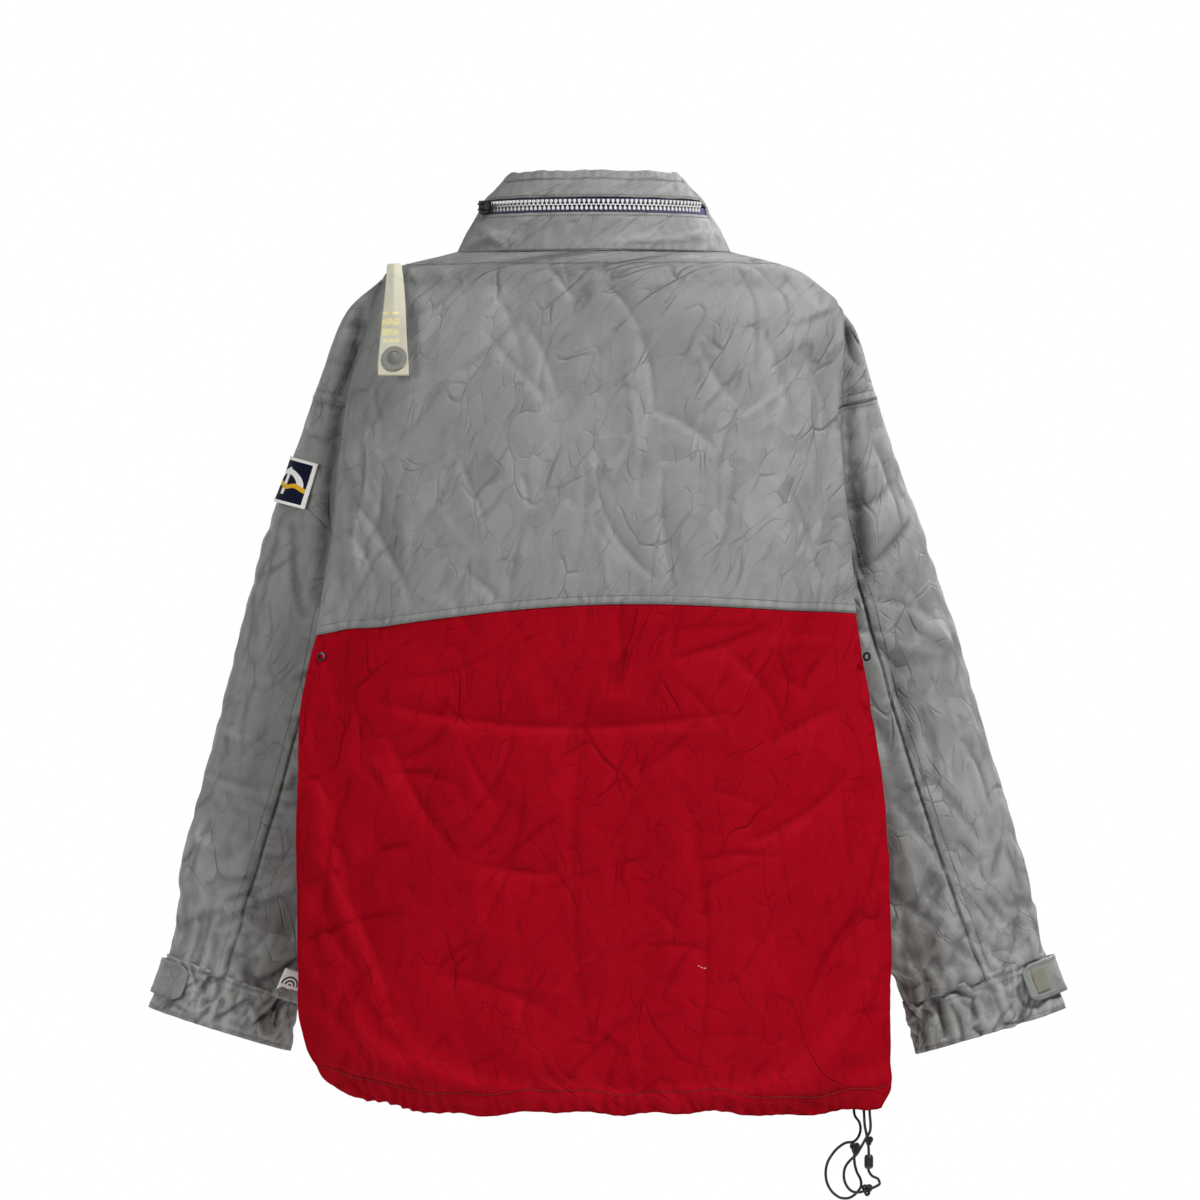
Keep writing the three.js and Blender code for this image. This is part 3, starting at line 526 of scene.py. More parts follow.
class Cloth:
    """A piece of cloth as rows and columns of points, with how far each is along and across it."""

    def __init__(self, points, closed=False):
        self.points, self.closed = points, closed
        self.rest = points.copy()
        self.relief = np.zeros(points.shape[:2])
        gaps = np.linalg.norm(np.diff(points, axis=1), axis=2)
        self.across = np.concatenate([np.zeros((len(points), 1)), np.cumsum(gaps, axis=1)], axis=1)
        gaps = np.linalg.norm(np.diff(points, axis=0), axis=2)
        self.along = np.concatenate([np.zeros((1, points.shape[1])), np.cumsum(gaps, axis=0)], axis=0)

    def normals(self):
        """Unit vectors straight out of the cloth."""
        points = self.points
        over = np.gradient(points, axis=1)
        if self.closed:
            over[:, 0] = over[:, -1] = (points[:, 1] - points[:, -2]) / 2
        out = np.cross(over, np.gradient(points, axis=0))
        return out / np.maximum(np.linalg.norm(out, axis=2, keepdims=True), 1e-9)

    def emboss(self, relief):
        """Raise the cloth along its own normal by relief, in millimetres."""
        if self.closed:
            blend = ramp(np.arange(relief.shape[1]), 0, 8)
            relief = relief * blend + relief[:, -1:] * (1 - blend)
        self.points = self.points + self.normals() * relief[..., None]
        self.relief = self.relief + relief

    def shade(self):
        """1 on the tops of the creases, -1 at their bottoms."""
        return np.clip((self.relief - blurred(self.relief, 2)) / 0.32, -1, 1)

    def sample(self, row, column, lift=0.0):
        """Points at fractional rows and columns, lifted off the cloth."""
        row = np.clip(row, 0, self.points.shape[0] - 1.001)
        column = np.clip(column, 0, self.points.shape[1] - 1.001)
        i, j = np.floor(row).astype(int), np.floor(column).astype(int)
        s, t = (row - i)[..., None], (column - j)[..., None]
        normals = self.normals()

        def mixed(field):
            near = field[i, j] * (1 - t) + field[i, j + 1] * t
            far = field[i + 1, j] * (1 - t) + field[i + 1, j + 1] * t
            return near * (1 - s) + far * s

        return mixed(self.points) + mixed(normals) * np.asarray(lift)[..., None], mixed(normals)


# --------------------------------------------------------------------------- making pieces


def finished(name, bm, material, smooth=True):
    """An object at the origin made of a bmesh, with one material."""
    mesh = bpy.data.meshes.new(name)
    bm.to_mesh(mesh)
    bm.free()
    mesh.materials.append(material)
    mesh.polygons.foreach_set("use_smooth", [smooth] * len(mesh.polygons))
    piece = bpy.data.objects.new(name, mesh)
    bpy.context.collection.objects.link(piece)
    return piece


def sheet_piece(name, points, material, across=None, along=None, shade=None, thick=1.1, closed=False):
    """A sheet of cloth through rows and columns of points, given its thickness."""
    rows, columns = points.shape[:2]
    if across is None:
        flat = Cloth(points)
        across, along = flat.across, flat.along
    bm = bmesh.new()
    bm.loops.layers.uv.new("UVMap")
    bmesh.ops.create_grid(bm, x_segments=columns - 1, y_segments=rows - 1, size=1.0, calc_uvs=True)
    piece = finished(name, bm, material)
    mesh = piece.data
    mesh.vertices.foreach_set("co", metres(points).ravel())
    corner = np.zeros(len(mesh.loops), np.int32)
    mesh.loops.foreach_get("vertex_index", corner)
    place = np.stack([across.ravel(), along.ravel()], axis=1) * MM
    mesh.uv_layers[0].data.foreach_set("uv", place[corner].ravel())
    # The crease attribute carries the painted highlight and painted shade that the cloth's colour reads.
    tone = mesh.attributes.new("crease", "FLOAT", "POINT")
    tone.data.foreach_set("value",
                          (np.zeros(rows * columns) if shade is None else shade.ravel()).astype(np.float32))
    if closed:
        bm = bmesh.new()
        bm.from_mesh(mesh)
        bmesh.ops.remove_doubles(bm, verts=bm.verts, dist=1e-6)
        bm.to_mesh(mesh)
        bm.free()
    if thick:
        wall = piece.modifiers.new("wall", "SOLIDIFY")
        wall.thickness, wall.offset = thick * MM, -1.0
        wall.use_even_offset = False
    mesh.update()
    return piece


def cloth_sheet(piece, cloth):
    """Work out how large the flat cloth of a piece was cut; the size is kept nowhere and the piece comes
    back unchanged.
    """
    cut = Cloth(cloth)
    width, length = cut.across[:, -1].max() * MM, cut.along[-1].max() * MM
    if min(width, length) < NARROWEST_SHEET:
        return piece
    return piece


def stitches(name, lines, material, length=None, thread=None):
    """Rows of short stitches along lines, each line its points and its normals."""
    length = length or sizes().stitch_length / MM
    thread = thread or sizes().thread / MM
    bm = bmesh.new()
    for points, normals in lines:
        gaps = np.linalg.norm(np.diff(points, axis=0), axis=1)
        along = np.concatenate([[0], np.cumsum(gaps)])
        count = max(1, int(along[-1] / length))
        for k in range(count):
            middle = (k + 0.5) * along[-1] / count
            ends = [middle - length * STITCH_SHARE, middle + length * STITCH_SHARE]
            a, b = (np.array([np.interp(e, along, points[:, n]) for n in range(3)]) for e in ends)
            out = np.array([np.interp(middle, along, normals[:, n]) for n in range(3)])
            add_block(bm, (a + b) / 2, b - a, out, (np.linalg.norm(b - a), thread, thread))
    return finished(name, bm, material)


def add_block(bm, centre, forward, out, extent):
    """One small block with its length along forward and its height along out."""
    x = Vector(forward).normalized()
    z = Vector(out).normalized()
    y = z.cross(x).normalized()
    z = x.cross(y)
    turn = Matrix((x, y, z)).transposed().to_4x4()
    place = Matrix.Translation(Vector(metres(centre))) @ turn @ Matrix.Diagonal((*[e * MM
        for e in extent], 1.0))
    made = bmesh.ops.create_cube(bm, size=1.0, matrix=place)
    return made["verts"]


def wear_new(obj, material):
    """Give a node of the model a better material."""
    obj.data.materials.clear()
    obj.data.materials.append(material)


def repaint(names, material):
    """The model's own pieces that stay, in a new finish."""
    for name in names:
        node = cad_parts[name]
        wear_new(node, material)


# --------------------------------------------------------------------------- finishes


def group(name, inputs, outputs):
    """A new shader group with named inputs and outputs, its nodes and its way to link them."""
    tree = bpy.data.node_groups.new(name, "ShaderNodeTree")
    for label, kind, value in inputs:
        socket = tree.interface.new_socket(name=label, in_out="INPUT", socket_type=kind)
        if value is not None:
            socket.default_value = value
    for label, kind in outputs:
        tree.interface.new_socket(name=label, in_out="OUTPUT", socket_type=kind)
    start, end = tree.nodes.new("NodeGroupInput"), tree.nodes.new("NodeGroupOutput")
    return tree, start, end


def add(tree, kind, links=(), **settings):
    """A node with its settings, and links from other sockets into its own."""
    node = tree.nodes.new(kind)
    for key, value in settings.items():
        setattr(node, key, value)
    for socket, source in links:
        tree.links.new(source, node.inputs[socket])
    return node


def math_node(tree, operation, a, b=None, clamp=False):
    """One sum of two sockets or numbers."""
    node = tree.nodes.new("ShaderNodeMath")
    node.operation, node.use_clamp = operation, clamp
    for index, value in enumerate((a, b)):
        if value is None:
            continue
        if isinstance(value, (int, float)):
            node.inputs[index].default_value = value
        else:
            tree.links.new(value, node.inputs[index])
    return node.outputs[0]


def mix_colour(tree, amount, a, b, blend="MIX"):
    """Two colours mixed by an amount."""
    node = tree.nodes.new("ShaderNodeMix")
    node.data_type, node.blend_type = "RGBA", blend
    for index, value in ((0, amount), (6, a), (7, b)):
        if isinstance(value, (int, float)):
            node.inputs[index].default_value = value
        elif isinstance(value, tuple):
            node.inputs[index].default_value = (*value, 1.0)[:4]
        else:
            tree.links.new(value, node.inputs[index])
    return node.outputs[2]


def weave_group():
    """Plain weave on the cloth's own coordinates: its height, and where the threads lie deep, the mask for
    the painted shade in its hollows.
    """
    if "Cloth Weave" in bpy.data.node_groups:
        return bpy.data.node_groups["Cloth Weave"]
    tree, start, end = group(
        "Cloth Weave",
        [("Vector", "NodeSocketVector", None), ("Threads", "NodeSocketFloat", 1200.0)],
        [("Height", "NodeSocketFloat"), ("Mask", "NodeSocketFloat")],
    )
    split = add(tree, "ShaderNodeSeparateXYZ", [(0, start.outputs[0])])
    waves = []
    for axis in (0, 1):
        turns = math_node(tree, "MULTIPLY", split.outputs[axis], start.outputs[1])
        waves.append(math_node(tree, "SINE", math_node(tree, "MULTIPLY", turns, TURN)))
    woven = math_node(tree, "MULTIPLY", waves[0], waves[1])
    height = math_node(tree, "MULTIPLY_ADD", woven, 0.5)
    height.node.inputs[2].default_value = 0.5
    tree.links.new(height, end.inputs[0])
    tree.links.new(math_node(tree, "SUBTRACT", 1.0, height), end.inputs[1])
    return tree


def crinkle_group():
    """Crushed cloth finer than its modelled creases: tilted facets, sharp lines between them, and grain."""
    if "Cloth Crinkle" in bpy.data.node_groups:
        return bpy.data.node_groups["Cloth Crinkle"]
    tree, start, end = group(
        "Cloth Crinkle",
        [("Vector", "NodeSocketVector", None), ("Scale", "NodeSocketFloat", 24.0),
         ("Stretch", "NodeSocketFloat", 0.55)],
        [("Height", "NodeSocketFloat"), ("Patches", "NodeSocketFloat"), ("Mask", "NodeSocketFloat")],
    )
    size_of = add(tree, "ShaderNodeCombineXYZ", [(1, start.outputs[2])])
    size_of.inputs[0].default_value = size_of.inputs[2].default_value = 1.0
    drawn = add(tree, "ShaderNodeVectorMath", [(0, start.outputs[0]), (1, size_of.outputs[0])],
                operation="MULTIPLY")
    warp = add(tree, "ShaderNodeTexNoise", [("Vector", drawn.outputs[0])])
    warp.inputs["Scale"].default_value = 14.0
    moved = add(tree, "ShaderNodeVectorMath", [(0, warp.outputs["Color"])], operation="SCALE")
    moved.inputs["Scale"].default_value = 0.075
    place = add(tree, "ShaderNodeVectorMath", [(0, drawn.outputs[0]), (1, moved.outputs[0])],
                operation="ADD")
    broad = add(tree, "ShaderNodeTexNoise", [("Vector", start.outputs[0])])
    broad.inputs["Scale"].default_value = 9.0
    broad.inputs["Detail"].default_value = 3.0
    total, lines = None, None
    for factor, tilt, groove, wide, bias in ((1.0, 80.0, 0.42, 0.04, 0.50), (2.6, 110.0, 0.22, 0.07, 0.49)):
        scale = math_node(tree, "MULTIPLY", start.outputs[1], factor)
        cells = add(tree, "ShaderNodeTexVoronoi", [("Vector", place.outputs[0]), ("Scale", scale)])
        leans = add(tree, "ShaderNodeVectorMath", [(0, cells.outputs["Color"])], operation="SUBTRACT")
        leans.inputs[1].default_value = (0.5, 0.5, 0.5)
        local = add(tree, "ShaderNodeVectorMath", [(0, place.outputs[0]), (1, cells.outputs["Position"])],
                    operation="SUBTRACT")
        plane = add(tree, "ShaderNodeVectorMath", [(0, local.outputs[0]), (1, leans.outputs[0])],
                    operation="DOT_PRODUCT")
        edges = add(tree, "ShaderNodeTexVoronoi", [("Vector", place.outputs[0]), ("Scale", scale)],
                    feature="DISTANCE_TO_EDGE")
        near = math_node(tree, "SUBTRACT", 1.0,
                         math_node(tree, "DIVIDE", edges.outputs["Distance"], wide), clamp=True)
        fading = add(tree, "ShaderNodeTexNoise", [("Vector", start.outputs[0])])
        fading.inputs["Scale"].default_value = 17.0 * factor
        kept = math_node(tree, "MULTIPLY", math_node(tree, "SUBTRACT", fading.outputs[0], bias), 6.0,
                         clamp=True)
        line = math_node(tree, "MULTIPLY", near, kept)
        height = math_node(tree, "SUBTRACT", math_node(tree, "MULTIPLY", plane.outputs["Value"], tilt),
                           math_node(tree, "MULTIPLY", line, groove))
        total = height if total is None else math_node(tree, "ADD", total, height)
        lines = line if lines is None else math_node(tree, "MAXIMUM", lines,
            math_node(tree, "MULTIPLY", line, 0.6))
    grain = add(tree, "ShaderNodeTexNoise", [("Vector", start.outputs[0])])
    grain.inputs["Scale"].default_value = 420.0
    grain.inputs["Detail"].default_value = 2.0
    total = math_node(tree, "ADD", total, math_node(tree, "MULTIPLY", grain.outputs[0], 0.13))
    tree.links.new(total, end.inputs[0])
    tree.links.new(broad.outputs[0], end.inputs[1])
    # The groove lines go out as the mask for the painted shade along the cloth's grooves.
    tree.links.new(lines, end.inputs[2])
    return tree


def crease_shading_group():
    """A cloth's colour with painted highlight on the tops of its creases, painted shade in their valleys and
    along the crinkle's groove lines, and faded patches.
    """
    if "Cloth Crease Shading" in bpy.data.node_groups:
        return bpy.data.node_groups["Cloth Crease Shading"]
    tree, start, end = group(
        "Cloth Crease Shading",
        [
            ("Color", "NodeSocketColor", (0.5, 0.5, 0.5, 1.0)),
            # The second colour is the painted highlight on crease tops, the third the painted shade in the
            # creases.
            ("Worn", "NodeSocketColor", (0.7, 0.7, 0.7, 1.0)),
            ("Deep", "NodeSocketColor", (0.2, 0.2, 0.2, 1.0)),
            ("Crease", "NodeSocketFloat", 0.0),
            ("Patches", "NodeSocketFloat", 0.5),
            ("Fade", "NodeSocketFloat", 0.1),
            ("Lines", "NodeSocketFloat", 0.0),
        ],
        [("Color", "NodeSocketColor"), ("Mask", "NodeSocketFloat")],
    )
    # Painted highlight: crease tops are mixed towards the lighter colour.
    top = math_node(tree, "MULTIPLY", math_node(tree, "MAXIMUM", start.outputs[3], 0.0), 0.35, clamp=True)
    # Painted shade: crease valleys and the groove lines are mixed towards the deep colour.
    low = math_node(tree, "MULTIPLY", math_node(tree, "MINIMUM", start.outputs[3], 0.0), -0.30)
    low = math_node(tree, "ADD", low, math_node(tree, "MULTIPLY", start.outputs[6], 0.62), clamp=True)
    raised = mix_colour(tree, top, start.outputs[0], start.outputs[1])
    sunk = mix_colour(tree, low, raised, start.outputs[2])
    patchy = math_node(tree, "MULTIPLY", math_node(tree, "SUBTRACT", start.outputs[4], 0.5),
                       start.outputs[5])
    faded = math_node(tree, "ADD", math_node(tree, "MULTIPLY", patchy, 2.0), 1.0)
    bright = add(tree, "ShaderNodeVectorMath", [(0, sunk)], operation="SCALE")
    tree.links.new(faded, bright.inputs["Scale"])
    tree.links.new(bright.outputs[0], end.inputs[0])
    tree.links.new(top, end.inputs[1])
    return tree


def blank(name, roughness=0.5, metallic=0.0):
    """A new material with its tree and its one shader."""
    material = bpy.data.materials.new(name)
    material.use_nodes = True
    shader = material.node_tree.nodes["Principled BSDF"]
    shader.inputs["Roughness"].default_value = roughness
    shader.inputs["Metallic"].default_value = metallic
    return material, material.node_tree, shader


def placed_group(tree, made, **links):
    """A group placed in a material, with its inputs linked or set by name."""
    node = tree.nodes.new("ShaderNodeGroup")
    node.node_tree = made
    for key, value in links.items():
        label = key.replace("_", " ").title()
        if isinstance(value, (int, float)):
            node.inputs[label].default_value = value
        elif isinstance(value, tuple):
            node.inputs[label].default_value = (*value, 1.0)[:4]
        else:
            tree.links.new(value, node.inputs[label])
    return node


def cloth_material(name, base, worn, deep, roughness, threads, crinkle, bump, sheen=0.0, fade=0.12,
                   gloss=0.25):
    """Woven cloth that reads its own flat coordinates and its crease attribute, which puts painted highlight
    and painted shade into its colour.
    """
    if name in bpy.data.materials:
        return bpy.data.materials[name]
    material, tree, shader = blank(name, roughness)
    flat = add(tree, "ShaderNodeUVMap")
    flat.uv_map = "UVMap"
    crease_of = add(tree, "ShaderNodeAttribute")
    crease_of.attribute_name = "crease"
    weave = placed_group(tree, weave_group(), vector=flat.outputs[0], threads=threads)
    folds = placed_group(tree, crinkle_group(), vector=flat.outputs[0], scale=crinkle)
    # Painted highlight on crease tops and painted shade in creases and groove lines, from the crease
    # attribute.
    crease_shaded = placed_group(
        tree, crease_shading_group(), color=tuple(base), worn=tuple(worn), deep=tuple(deep),
        crease=crease_of.outputs["Fac"], patches=folds.outputs["Patches"], fade=fade,
        lines=folds.outputs["Mask"],
    )
    # Painted shade: the colour is darkened a little where the weave's threads lie deep.
    grain = mix_colour(tree, 0.16, crease_shaded.outputs[0], (0.0, 0.0, 0.0))
    thready = mix_colour(tree, weave.outputs["Mask"], crease_shaded.outputs[0], grain)
    tree.links.new(thready, shader.inputs["Base Color"])
    rough = math_node(tree, "MULTIPLY_ADD", folds.outputs["Patches"], 0.16)
    rough.node.inputs[2].default_value = roughness - 0.08
    tree.links.new(rough, shader.inputs["Roughness"])
    height = math_node(tree, "ADD", math_node(tree, "MULTIPLY", folds.outputs["Height"], 1.0),
                       math_node(tree, "MULTIPLY", weave.outputs["Height"], 0.05))
    relief = add(tree, "ShaderNodeBump", [("Height", height)])
    relief.inputs["Strength"].default_value = bump
    relief.inputs["Distance"].default_value = 0.0026
    tree.links.new(relief.outputs[0], shader.inputs["Normal"])
    shader.inputs["Specular IOR Level"].default_value = gloss
    shader.inputs["Sheen Weight"].default_value = sheen
    shader.inputs["Sheen Roughness"].default_value = 0.4
    return material


def shifted(base, factor):
    """A colour made lighter or darker."""
    return tuple(min(1.0, c * factor) for c in base)


# Each cloth gives a lighter colour for the painted highlight on its crease tops and a darker one for the
# painted shade in its creases and groove lines.
def silver_cloth():
    base = tuple(colours().silver)
    return cloth_material("silver_cloth", base, shifted(base, 1.3), shifted(base, 0.55), 0.46, 1500.0,
                          24.0, 0.9, 0.0, 0.14, 0.4)


def red_cloth():
    base = tuple(colours().red)
    # The red's painted highlight on crease tops, then its painted shade in the creases.
    worn, deep = (0.36, 0.002, 0.012), (0.17, 0.0, 0.003)
    return cloth_material("red_cloth", base, worn, deep, 0.6, 1500.0, 20.0, 0.8, 0.0, 0.06, 0.03)


def lining_cloth():
    base = tuple(colours().lining)
    return cloth_material("lining_cloth", base, shifted(base, 1.6), shifted(base, 0.6), 0.4, 1700.0, 26.0,
                          0.3, 0.1)


def webbing_cloth():
    """Flat woven strap with the last of a yellow print on it."""
    if "strap_webbing" in bpy.data.materials:
        return bpy.data.materials["strap_webbing"]
    base = tuple(colours().webbing)
    made = cloth_material("strap_webbing", base, shifted(base, 1.2), shifted(base, 0.6), 0.75, 620.0,
                          30.0, 0.08, 0.2)
    tree = made.node_tree
    shader = tree.nodes["Principled BSDF"]
    before = shader.inputs["Base Color"].links[0].from_socket
    flat = add(tree, "ShaderNodeUVMap")
    split = add(tree, "ShaderNodeSeparateXYZ", [(0, flat.outputs[0])])
    band = math_node(tree, "MULTIPLY", math_node(tree, "GREATER_THAN", split.outputs[1], 0.030),
                     math_node(tree, "LESS_THAN", split.outputs[1], 0.057))
    inside = math_node(tree, "MULTIPLY", math_node(tree, "GREATER_THAN", split.outputs[0], 0.006),
                       math_node(tree, "LESS_THAN", split.outputs[0], 0.021))
    bars = math_node(tree, "GREATER_THAN",
                     math_node(tree, "SINE", math_node(tree, "MULTIPLY", split.outputs[1], 680.0)), -0.45)
    # This noise marks where the print has rubbed away.
    worn = add(tree, "ShaderNodeTexNoise", [("Vector", flat.outputs[0])])
    worn.inputs["Scale"].default_value = 260.0
    left = math_node(tree, "MULTIPLY", math_node(tree, "SUBTRACT", worn.outputs[0], 0.3), 2.6, clamp=True)
    print_mask = math_node(tree, "MULTIPLY", math_node(tree, "MULTIPLY", band, inside),
                           math_node(tree, "MULTIPLY", bars, left))
    printed = mix_colour(tree, math_node(tree, "MULTIPLY", print_mask, 0.75), before, (0.70, 0.62, 0.20))
    tree.links.new(printed, shader.inputs["Base Color"])
    return made


def hook_tape():
    base = tuple(colours().hook_tape)
    return cloth_material("hook_tape", base, shifted(base, 1.3), shifted(base, 0.5), 0.9, 900.0, 300.0,
                          0.6, 0.2)


def black_tape():
    base = (0.012, 0.012, 0.014)
    return cloth_material("black_tape", base, shifted(base, 1.6), shifted(base, 0.5), 0.85, 900.0, 300.0,
                          0.6, 0.1)


def zip_tape():
    base = tuple(colours().navy)
    return cloth_material("zip_tape", base, shifted(base, 2.0), shifted(base, 0.5), 0.7, 900.0, 40.0, 0.1,
                          0.0)


def tape_edge():
    base = (0.05, 0.008, 0.020)
    return cloth_material("zip_tape_edge", base, shifted(base, 1.8), shifted(base, 0.5), 0.7, 900.0, 40.0,
                          0.1, 0.0)


def plain_thread(name, base):
    """Sewing thread, twisted and dull."""
    if name in bpy.data.materials:
        return bpy.data.materials[name]
    material, tree, shader = blank(name, 0.6)
    place = add(tree, "ShaderNodeTexCoord")
    twist = add(tree, "ShaderNodeTexNoise", [("Vector", place.outputs["Object"])])
    twist.inputs["Scale"].default_value = 900.0
    tone = mix_colour(tree, twist.outputs[0], shifted(base, 0.75), shifted(base, 1.2))
    tree.links.new(tone, shader.inputs["Base Color"])
    return material


def metal(name, base, roughness, scale):
    """Plated metal with fine scratches and a little tarnish."""
    if name in bpy.data.materials:
        return bpy.data.materials[name]
    material, tree, shader = blank(name, roughness, 1.0)
    place = add(tree, "ShaderNodeTexCoord")
    cloudy = add(tree, "ShaderNodeTexNoise", [("Vector", place.outputs["Object"])])
    cloudy.inputs["Scale"].default_value = scale
    cloudy.inputs["Detail"].default_value = 5.0
    tone = mix_colour(tree, cloudy.outputs[0], shifted(base, 0.72), shifted(base, 1.15))
    tree.links.new(tone, shader.inputs["Base Color"])
    rough = math_node(tree, "MULTIPLY_ADD", cloudy.outputs[0], 0.3)
    rough.node.inputs[2].default_value = roughness - 0.12
    tree.links.new(rough, shader.inputs["Roughness"])
    relief = add(tree, "ShaderNodeBump", [("Height", cloudy.outputs[0])])
    relief.inputs["Strength"].default_value, relief.inputs["Distance"].default_value = 0.25, 0.0003
    tree.links.new(relief.outputs[0], shader.inputs["Normal"])
    return material


def moulded(name, base, roughness):
    """Moulded plastic with a faint grain."""
    if name in bpy.data.materials:
        return bpy.data.materials[name]
    material, tree, shader = blank(name, roughness)
    place = add(tree, "ShaderNodeTexCoord")
    grain = add(tree, "ShaderNodeTexNoise", [("Vector", place.outputs["Object"])])
    grain.inputs["Scale"].default_value = 700.0
    tone = mix_colour(tree, grain.outputs[0], shifted(base, 0.85), shifted(base, 1.12))
    tree.links.new(tone, shader.inputs["Base Color"])
    relief = add(tree, "ShaderNodeBump", [("Height", grain.outputs[0])])
    relief.inputs["Strength"].default_value, relief.inputs["Distance"].default_value = 0.3, 0.0002
    tree.links.new(relief.outputs[0], shader.inputs["Normal"])
    return material


def braided_cord():
    """Thin braided cord."""
    if "braided_cord" in bpy.data.materials:
        return bpy.data.materials["braided_cord"]
    material, tree, shader = blank("braided_cord", 0.7)
    place = add(tree, "ShaderNodeTexCoord")
    braid = add(tree, "ShaderNodeTexVoronoi", [("Vector", place.outputs["Object"])])
    braid.inputs["Scale"].default_value = 1100.0
    base = tuple(colours().cord)
    tone = mix_colour(tree, braid.outputs["Distance"], shifted(base, 1.9), shifted(base, 0.5))
    tree.links.new(tone, shader.inputs["Base Color"])
    relief = add(tree, "ShaderNodeBump", [("Height", braid.outputs["Distance"])])
    relief.inputs["Strength"].default_value, relief.inputs["Distance"].default_value = 0.8, 0.0004
    relief.invert = True
    tree.links.new(relief.outputs[0], shader.inputs["Normal"])
    return material


# --------------------------------------------------------------------------- the cloth, worked out once

CLOTHS = {}
SLEEVES = {"left": SLEEVE_LEFT, "right": SLEEVE_RIGHT}
SIGN = {"left": 1, "right": -1}


def once(name, maker):
    """A cloth worked out the first time it is asked for."""
    if name not in CLOTHS:
        CLOTHS[name] = maker()
    return CLOTHS[name]


def front_angles(levels, inset=0.0):
    """For each level, the angles of the two front edges beside the zip."""
    stations = np.array(BODY, float)
    height = np.where(levels < 1, levels * SEAM_PEAK, SEAM_PEAK + (NECK_SEAM - SEAM_PEAK) * (levels - 1))
    halves = through(stations[:, 0], stations[:, 1:3], height) - inset
    return -np.arccos(ZIP_EDGE / halves[:, 0]), math.pi + np.arccos(ZIP_EDGE / halves[:, 1])


def body_angles(levels, counts, inset=0.0):
    """Angles of the columns round the body, evenly spaced in each front and in the back."""
    first, last = front_angles(levels, inset)
    zero = np.zeros_like(first)
    parts = []
    for start, end, count in ((first, zero, counts[0]), (zero, zero + math.pi, counts[1]),
                              (zero + math.pi, last, counts[0])):
        dense = start[:, None] + (end - start)[:, None] * np.linspace(0, 1, 361)
        rows = body_point(levels[:, None], dense, inset)
        gaps = np.linalg.norm(np.diff(rows, axis=1), axis=2)
        along = np.concatenate([np.zeros((len(rows), 1)), np.cumsum(gaps, axis=1)], axis=1)
        even = np.linspace(0, 1, count)
        parts.append(np.stack([np.interp(even * line[-1], line, d) for line, d in zip(along, dense)]))
    return np.concatenate([parts[0][:, :-1], parts[1], parts[2][:, 1:]], axis=1)


def make_body():
    """The shell of the body from hem to neck, creased as it hangs."""
    spacing, front_spacing = sizes().back_spacing / MM, sizes().spacing / MM
    low, high = int(450 / spacing), int(315 / spacing)
    levels = np.concatenate([np.linspace(0, 1, low, endpoint=False), np.linspace(1, 2, high + 1)])
    counts = (int(300 / front_spacing), int(565 / spacing))
    points = body_point(levels[:, None], body_angles(levels, counts))
    cloth = Cloth(points)
    cloth.seam, cloth.left, cloth.right = low, counts[0] - 1, counts[0] + counts[1] - 2
    middle = (cloth.left + cloth.right) // 2
    a = cloth.across - cloth.across[:, middle:middle + 1]
    x, z = points[..., 0], points[..., 2]
    columns = np.arange(points.shape[1])
    back = ((columns >= cloth.left) & (columns <= cloth.right))[None, :] * 1.0
    pins = np.full(points.shape[:2], 0.05)
    edge = np.minimum(np.abs(columns - cloth.left), np.abs(columns - cloth.right))
    pins = np.maximum(pins, ramp(-edge, -10, 0)[None, :] * 0.75)
    pins = np.maximum(pins, ramp(-np.minimum(columns, columns[::-1]), -8, 0)[None, :])
    pins = np.maximum(pins, ramp(z, 715, 750))
    pins = np.maximum(pins, (1 - back) * ramp(-np.abs(x), -62, -40))
    pins = np.maximum(pins, (1 - back) * 0.95 * ramp(z, 205, 240) * ramp(-z, -310, -280))
    pins = np.maximum(pins, ramp(-levels, -0.05, 0)[:, None])
    pins[0], pins[-1] = 1, 1
    cloth.points = points + settle(points, pins, 4, slack=0.03, deep=3.4)
    upper = ramp(z, 420, 470)
    strength = sizes().crumple
    relief = 4.0 * noise(3, a / 150, z / 190) * ramp(NECK_SEAM - z, 0, 60)
    relief += (0.7 + 0.5 * upper) * crumple(11, a, z, 58, 2.2, 0.1) + 0.3 * crumple(12, a, z, 24, 2.6, 0.0)
    relief += 2.2 * blurred(crumple(14, a, z, 95, 2.4, 0.25), 2)
    relief += upper * seeded_creases(21, a, z, 300, (26, 120), 2, 26, 3.0, 2.8)
    relief += (1 - upper) * seeded_creases(22, a, z, 210, (28, 120), 34, 34, 3.4, 3.0)
    relief += (1 - upper) * seeded_creases(23, a, z, 90, (30, 110), -62, 22, 2.8, 2.8)
    for x0, z0, x1, z1, proud, width in BACK_FOLDS:
        bend = 0.06 * math.hypot(x1 - x0, z1 - z0) * (1 if (x0 + z1) % 2 else -1)
        relief -= back * 1.9 * proud * crease(x, z, (x0, z0), (x1, z1), bend, width * 0.8)
    relief -= back * 7.0 * np.exp(-(((x + 42) / 30) ** 2)) * ramp(-z, -430, -250)
    relief += back * 2.4 * np.exp(-(((np.abs(x) - 178 + 0.03 * z) / 13) ** 2)) * ramp(z, 430,
        520) * ramp(-z, -700, -620)
    relief += gather_seams(a, z, x)
    side = ramp(np.abs(np.cos(body_angles(levels, counts))), 0.93, 1.0)
    relief = np.where(relief < 0, 7.4 * np.tanh(relief / 7.4), relief)
    hinge = ramp(z, 215, 240) * ramp(-z, -300, -280) * ramp(-np.abs(x), -190, -175)
    relief = relief * np.maximum(back, ramp(np.abs(x), 36, 58) * (1 - 0.9 * hinge))
    cloth.emboss(relief * strength * ramp(NECK_SEAM - z, -1, 9) * (1 - 0.55 * side))
    return cloth


